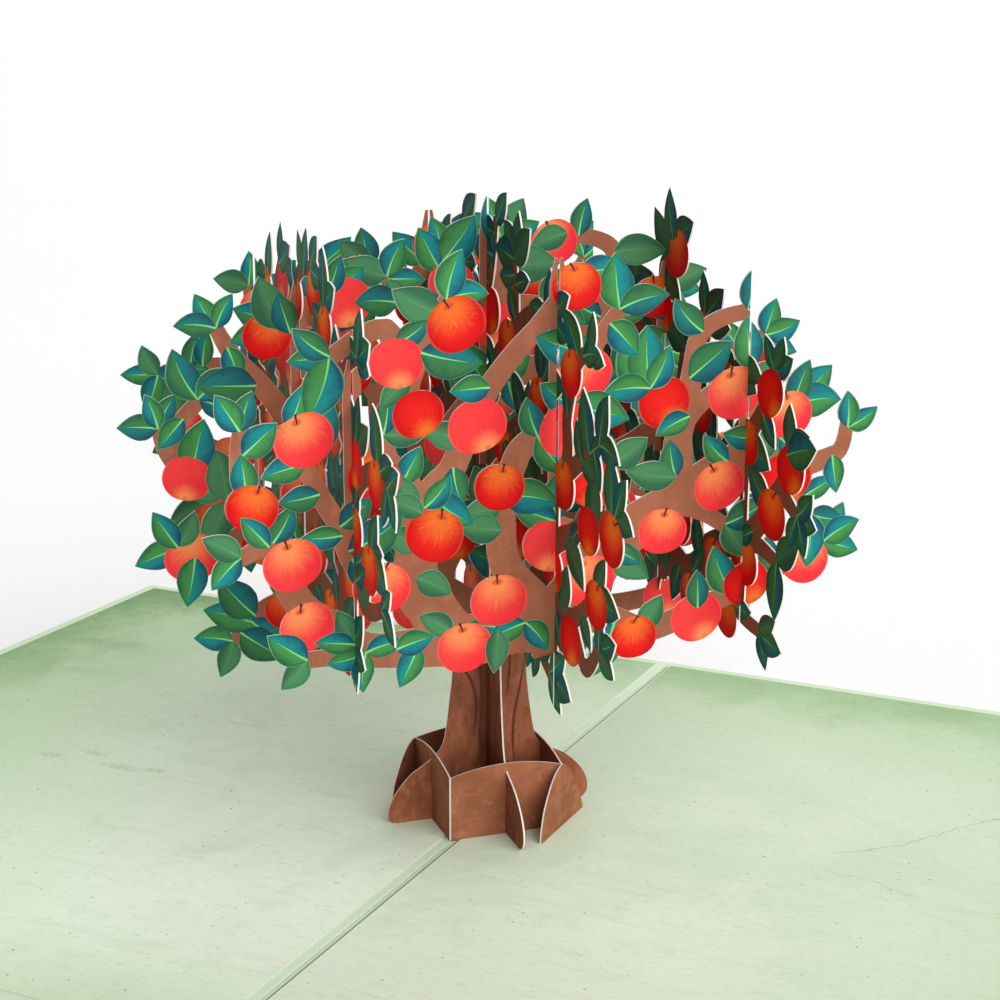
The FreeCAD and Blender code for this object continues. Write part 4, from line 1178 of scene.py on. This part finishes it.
    # scuffs: small broken marks in a few places
    scuff = n.noise(n.stretch(flat, 0.55, 1.7, 1.0), 0.9, 4.0, 0.75, 0.4)
    where = n.ramp01(n.noise(n.stretch(flat, 1.0, 1.6, 1.0), 0.085, 2.0, 0.5), 0.60, 0.70)
    c = n.mix(n.mul(n.mul(n.ramp01(scuff, 0.58, 0.68), where), 0.55), c, lin(152, 178, 116))
    # hairline cracks in the printed texture
    vc = n.new("ShaderNodeTexVoronoi", voronoi_dimensions="2D", feature="DISTANCE_TO_EDGE")
    vc.inputs["Scale"].default_value = 0.0085
    vc.inputs["Randomness"].default_value = 1.0
    wob = n.noise(flat, 0.09, 4.0, 0.6)
    n.put(vc.inputs["Vector"], n.vm("ADD", flat, n.vec(n.mul(wob, 26.0), n.mul(wob, -18.0), 0.0)).outputs[0])
    crack = n.mul(n.ramp01(vc.outputs["Distance"], 0.0016, 0.0006), n.ramp01(big, 0.57, 0.64))
    c = n.mix(n.mul(crack, 0.4), c, lin(150, 168, 124))
    if side > 0:
        # one longer hairline
        wx = n.mul(n.sub(n.noise(flat, 0.35, 3.0), 0.5), 3.2)
        wy = n.mul(n.sub(n.noise(n.vm("ADD", flat, (31.0, 7.0, 0.0)).outputs[0], 0.35, 3.0), 0.5), 3.2)
        line = None
        way = ((66.0, 10.5), (69.5, 12.3), (77.2, 19.4), (84.2, 30.9), (90.5, 39.7), (101.0, 47.0), (108.0, 61.0))
        for (ax, ay), (bx, by) in zip(way, way[1:]):
            ex, ey = bx - ax, by - ay
            ll = ex * ex + ey * ey
            px, py = n.add(n.sub(x, ax), wx), n.add(n.sub(y, ay), wy)
            t = n.m("MULTIPLY", n.add(n.mul(px, ex), n.mul(py, ey)), 1.0 / ll, clamp=True)
            qx, qy = n.sub(px, n.mul(t, ex)), n.sub(py, n.mul(t, ey))
            far = n.m("SQRT", n.add(n.mul(qx, qx), n.mul(qy, qy)))
            line = far if line is None else n.m("MINIMUM", line, far)
        c = n.mix(n.mul(n.ramp01(line, 0.30, 0.10), 0.42), c, lin(146, 166, 126))
    else:
        # rubbed marks
        for ax, ay, rx in ((-94.4, -13.4, 5.0), (-87.0, -8.5, 4.0), (-77.5, -12.5, 6.0), (-70.0, -11.0, 3.5)):
            px, py = n.mul(n.sub(x, ax), 1.0 / rx), n.mul(n.sub(y, ay), 1.0 / 1.8)
            far = n.m("SQRT", n.add(n.mul(px, px), n.mul(py, py)))
            mark = n.mul(n.ramp01(far, 1.0, 0.4), n.ramp01(n.noise(n.stretch(flat, 0.6, 1.8, 1.0), 1.3, 3.0, 0.7), 0.46, 0.56))
            c = n.mix(n.mul(mark, 0.55), c, lin(158, 184, 128))
    # painted highlight: a thin pale line along the cut edge of each page beside the fold
    inner = 1.5 if side > 0 else 2.0
    fold_edge_highlight = n.ramp01(n.m("ABSOLUTE", n.sub(n.m("ABSOLUTE", x), inner + 0.12)), 0.35, 0.05)
    if side < 0:
        c = n.mix(n.mul(fold_edge_highlight, 0.12), c, lin(230, 238, 222))
    else:
        c = n.mix(n.mul(fold_edge_highlight, 0.50), c, lin(240, 249, 230))
    # painted shade: the cut edges of the pages are drawn a greyer green than bare card, toning down the edge that faces
    # the key light
    c = sheet_or_edge(n, ((0.0, 0.0, 1.0),), c, n.mix(0.75, core_colour(n, v), lin(196, 206, 192)))
    g = n.add(paper_grain(n, v), n.mul(fine, 0.4))
    return n.finish(c, g, 0.22, 0.66, n.add(0.6, n.mul(g, 0.12)), 0.12)


# ---- build ---------------------------------------------------------------------------
PRINTS = [leaf_material(), apple_material(), bark_material(), dark_material(), core_material()]
for name, fam, off, kind, seed, drop in SLICES:
    piece = slice_mesh(name, fam, off, kind, seed, drop)
    for m in PRINTS:
        piece.data.materials.append(m)
    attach(piece, "root")
    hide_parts(name)


def dress(node, material):
    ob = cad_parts[node]
    if not ob.material_slots:
        ob.data.materials.append(material)
    for slot in ob.material_slots:
        slot.material = material


dress("card_cover", cover_material())
dress("liner_left", liner_material(-1))
dress("liner_right", liner_material(1))
ROOT_BOX = root_material("root_box_print", ((1 / R2, -1 / R2, 0.0), (1 / R2, 1 / R2, 0.0)), True)
ROOT_X = root_material("support_print", ((1.0, 0.0, 0.0),), False)
dress("root_box_front", ROOT_BOX)
dress("root_box_back", ROOT_BOX)
dress("support_left", ROOT_X)
dress("support_right", ROOT_X)


# ---- stage, light and camera -----------------------------------------------------------
def stage():
    me = bpy.data.meshes.new("studio_floor")
    r = 12.0
    me.from_pydata([(-r, -r, -0.0002), (r, -r, -0.0002), (r, r, -0.0002), (-r, r, -0.0002)], [], [(0, 1, 2, 3)])
    ob = bpy.data.objects.new("studio_floor", me)
    bpy.context.scene.collection.objects.link(ob)
    n = Nodes("studio_white")
    v = n.new("ShaderNodeTexCoord").outputs["Object"]
    x, y, _ = n.split(v)
    c = n.mix(n.noise(v, 2.0, 2.0), lin(251, 251, 251), lin(253, 253, 253))
    me.materials.append(n.finish(c, None, 0.0, 0.8, None, 0.1))
    n.bsdf.inputs["Emission Color"].default_value = (1.0, 1.0, 1.0, 1.0)
    n.bsdf.inputs["Emission Strength"].default_value = 0.0
    return ob


floor = stage()

scene = bpy.context.scene
scene.view_settings.view_transform = "Standard"
scene.view_settings.look = "None"
scene.view_settings.exposure = 0.0
scene.view_settings.gamma = 1.0

world = bpy.data.worlds.new("studio_world")
scene.world = world
world.use_nodes = True
bg = world.node_tree.nodes.get("Background") or world.node_tree.nodes.new("ShaderNodeBackground")
bg.inputs[0].default_value = (1.0, 1.0, 1.0, 1.0)
# an even dim dome with a bright band at the horizon behind the table
w_dir = world.node_tree.nodes.new("ShaderNodeTexCoord")
w_xyz = world.node_tree.nodes.new("ShaderNodeSeparateXYZ")
world.node_tree.links.new(w_dir.outputs["Generated"], w_xyz.inputs[0])
w_band = world.node_tree.nodes.new("ShaderNodeMapRange")
w_band.inputs[1].default_value = 0.10
w_band.inputs[2].default_value = 0.05
w_band.inputs[3].default_value = 0.25
w_band.inputs[4].default_value = 1.0
world.node_tree.links.new(w_xyz.outputs[2], w_band.inputs[0])
world.node_tree.links.new(w_band.outputs[0], bg.inputs[1])


def soft_sun(name, toward, strength, spread):
    li = bpy.data.lights.new(name, "SUN")
    li.energy = strength
    li.angle = math.radians(spread)
    ob = bpy.data.objects.new(name, li)
    ob.rotation_euler = (-Vector(toward)).to_track_quat("-Z", "Y").to_euler()
    scene.collection.objects.link(ob)
    return ob


def compass(around, elev):
    a, e = math.radians(around), math.radians(elev)
    return (math.cos(a) * math.cos(e), math.sin(a) * math.cos(e), math.sin(e))


key = soft_sun("key", compass(-30.0, 37.0), 2.75, 62.0)
fill = soft_sun("fill", compass(95.0, 24.0), 1.8, 70.0)

cam = bpy.data.cameras.new("camera")
cam.lens = 68.48
cam.sensor_width = 36.0
cam.clip_start = 0.01
cam.clip_end = 60.0
cam_ob = bpy.data.objects.new("camera", cam)
yaw, pitch, roll = math.radians(-25.36), math.radians(13.87), 0.0031
fw = Vector((math.sin(yaw) * math.cos(pitch), math.cos(yaw) * math.cos(pitch), -math.sin(pitch)))
right = Vector((math.cos(yaw), -math.sin(yaw), 0.0))
up = right.cross(fw)
r2 = math.cos(roll) * right + math.sin(roll) * up
u2 = -math.sin(roll) * right + math.cos(roll) * up
rot = Matrix((r2, u2, -fw)).transposed().to_4x4()
cam_ob.matrix_world = Matrix.Translation((0.14941, -0.30971, 0.14696 + PAGE_Z * MM)) @ rot
scene.collection.objects.link(cam_ob)
scene.camera = cam_ob
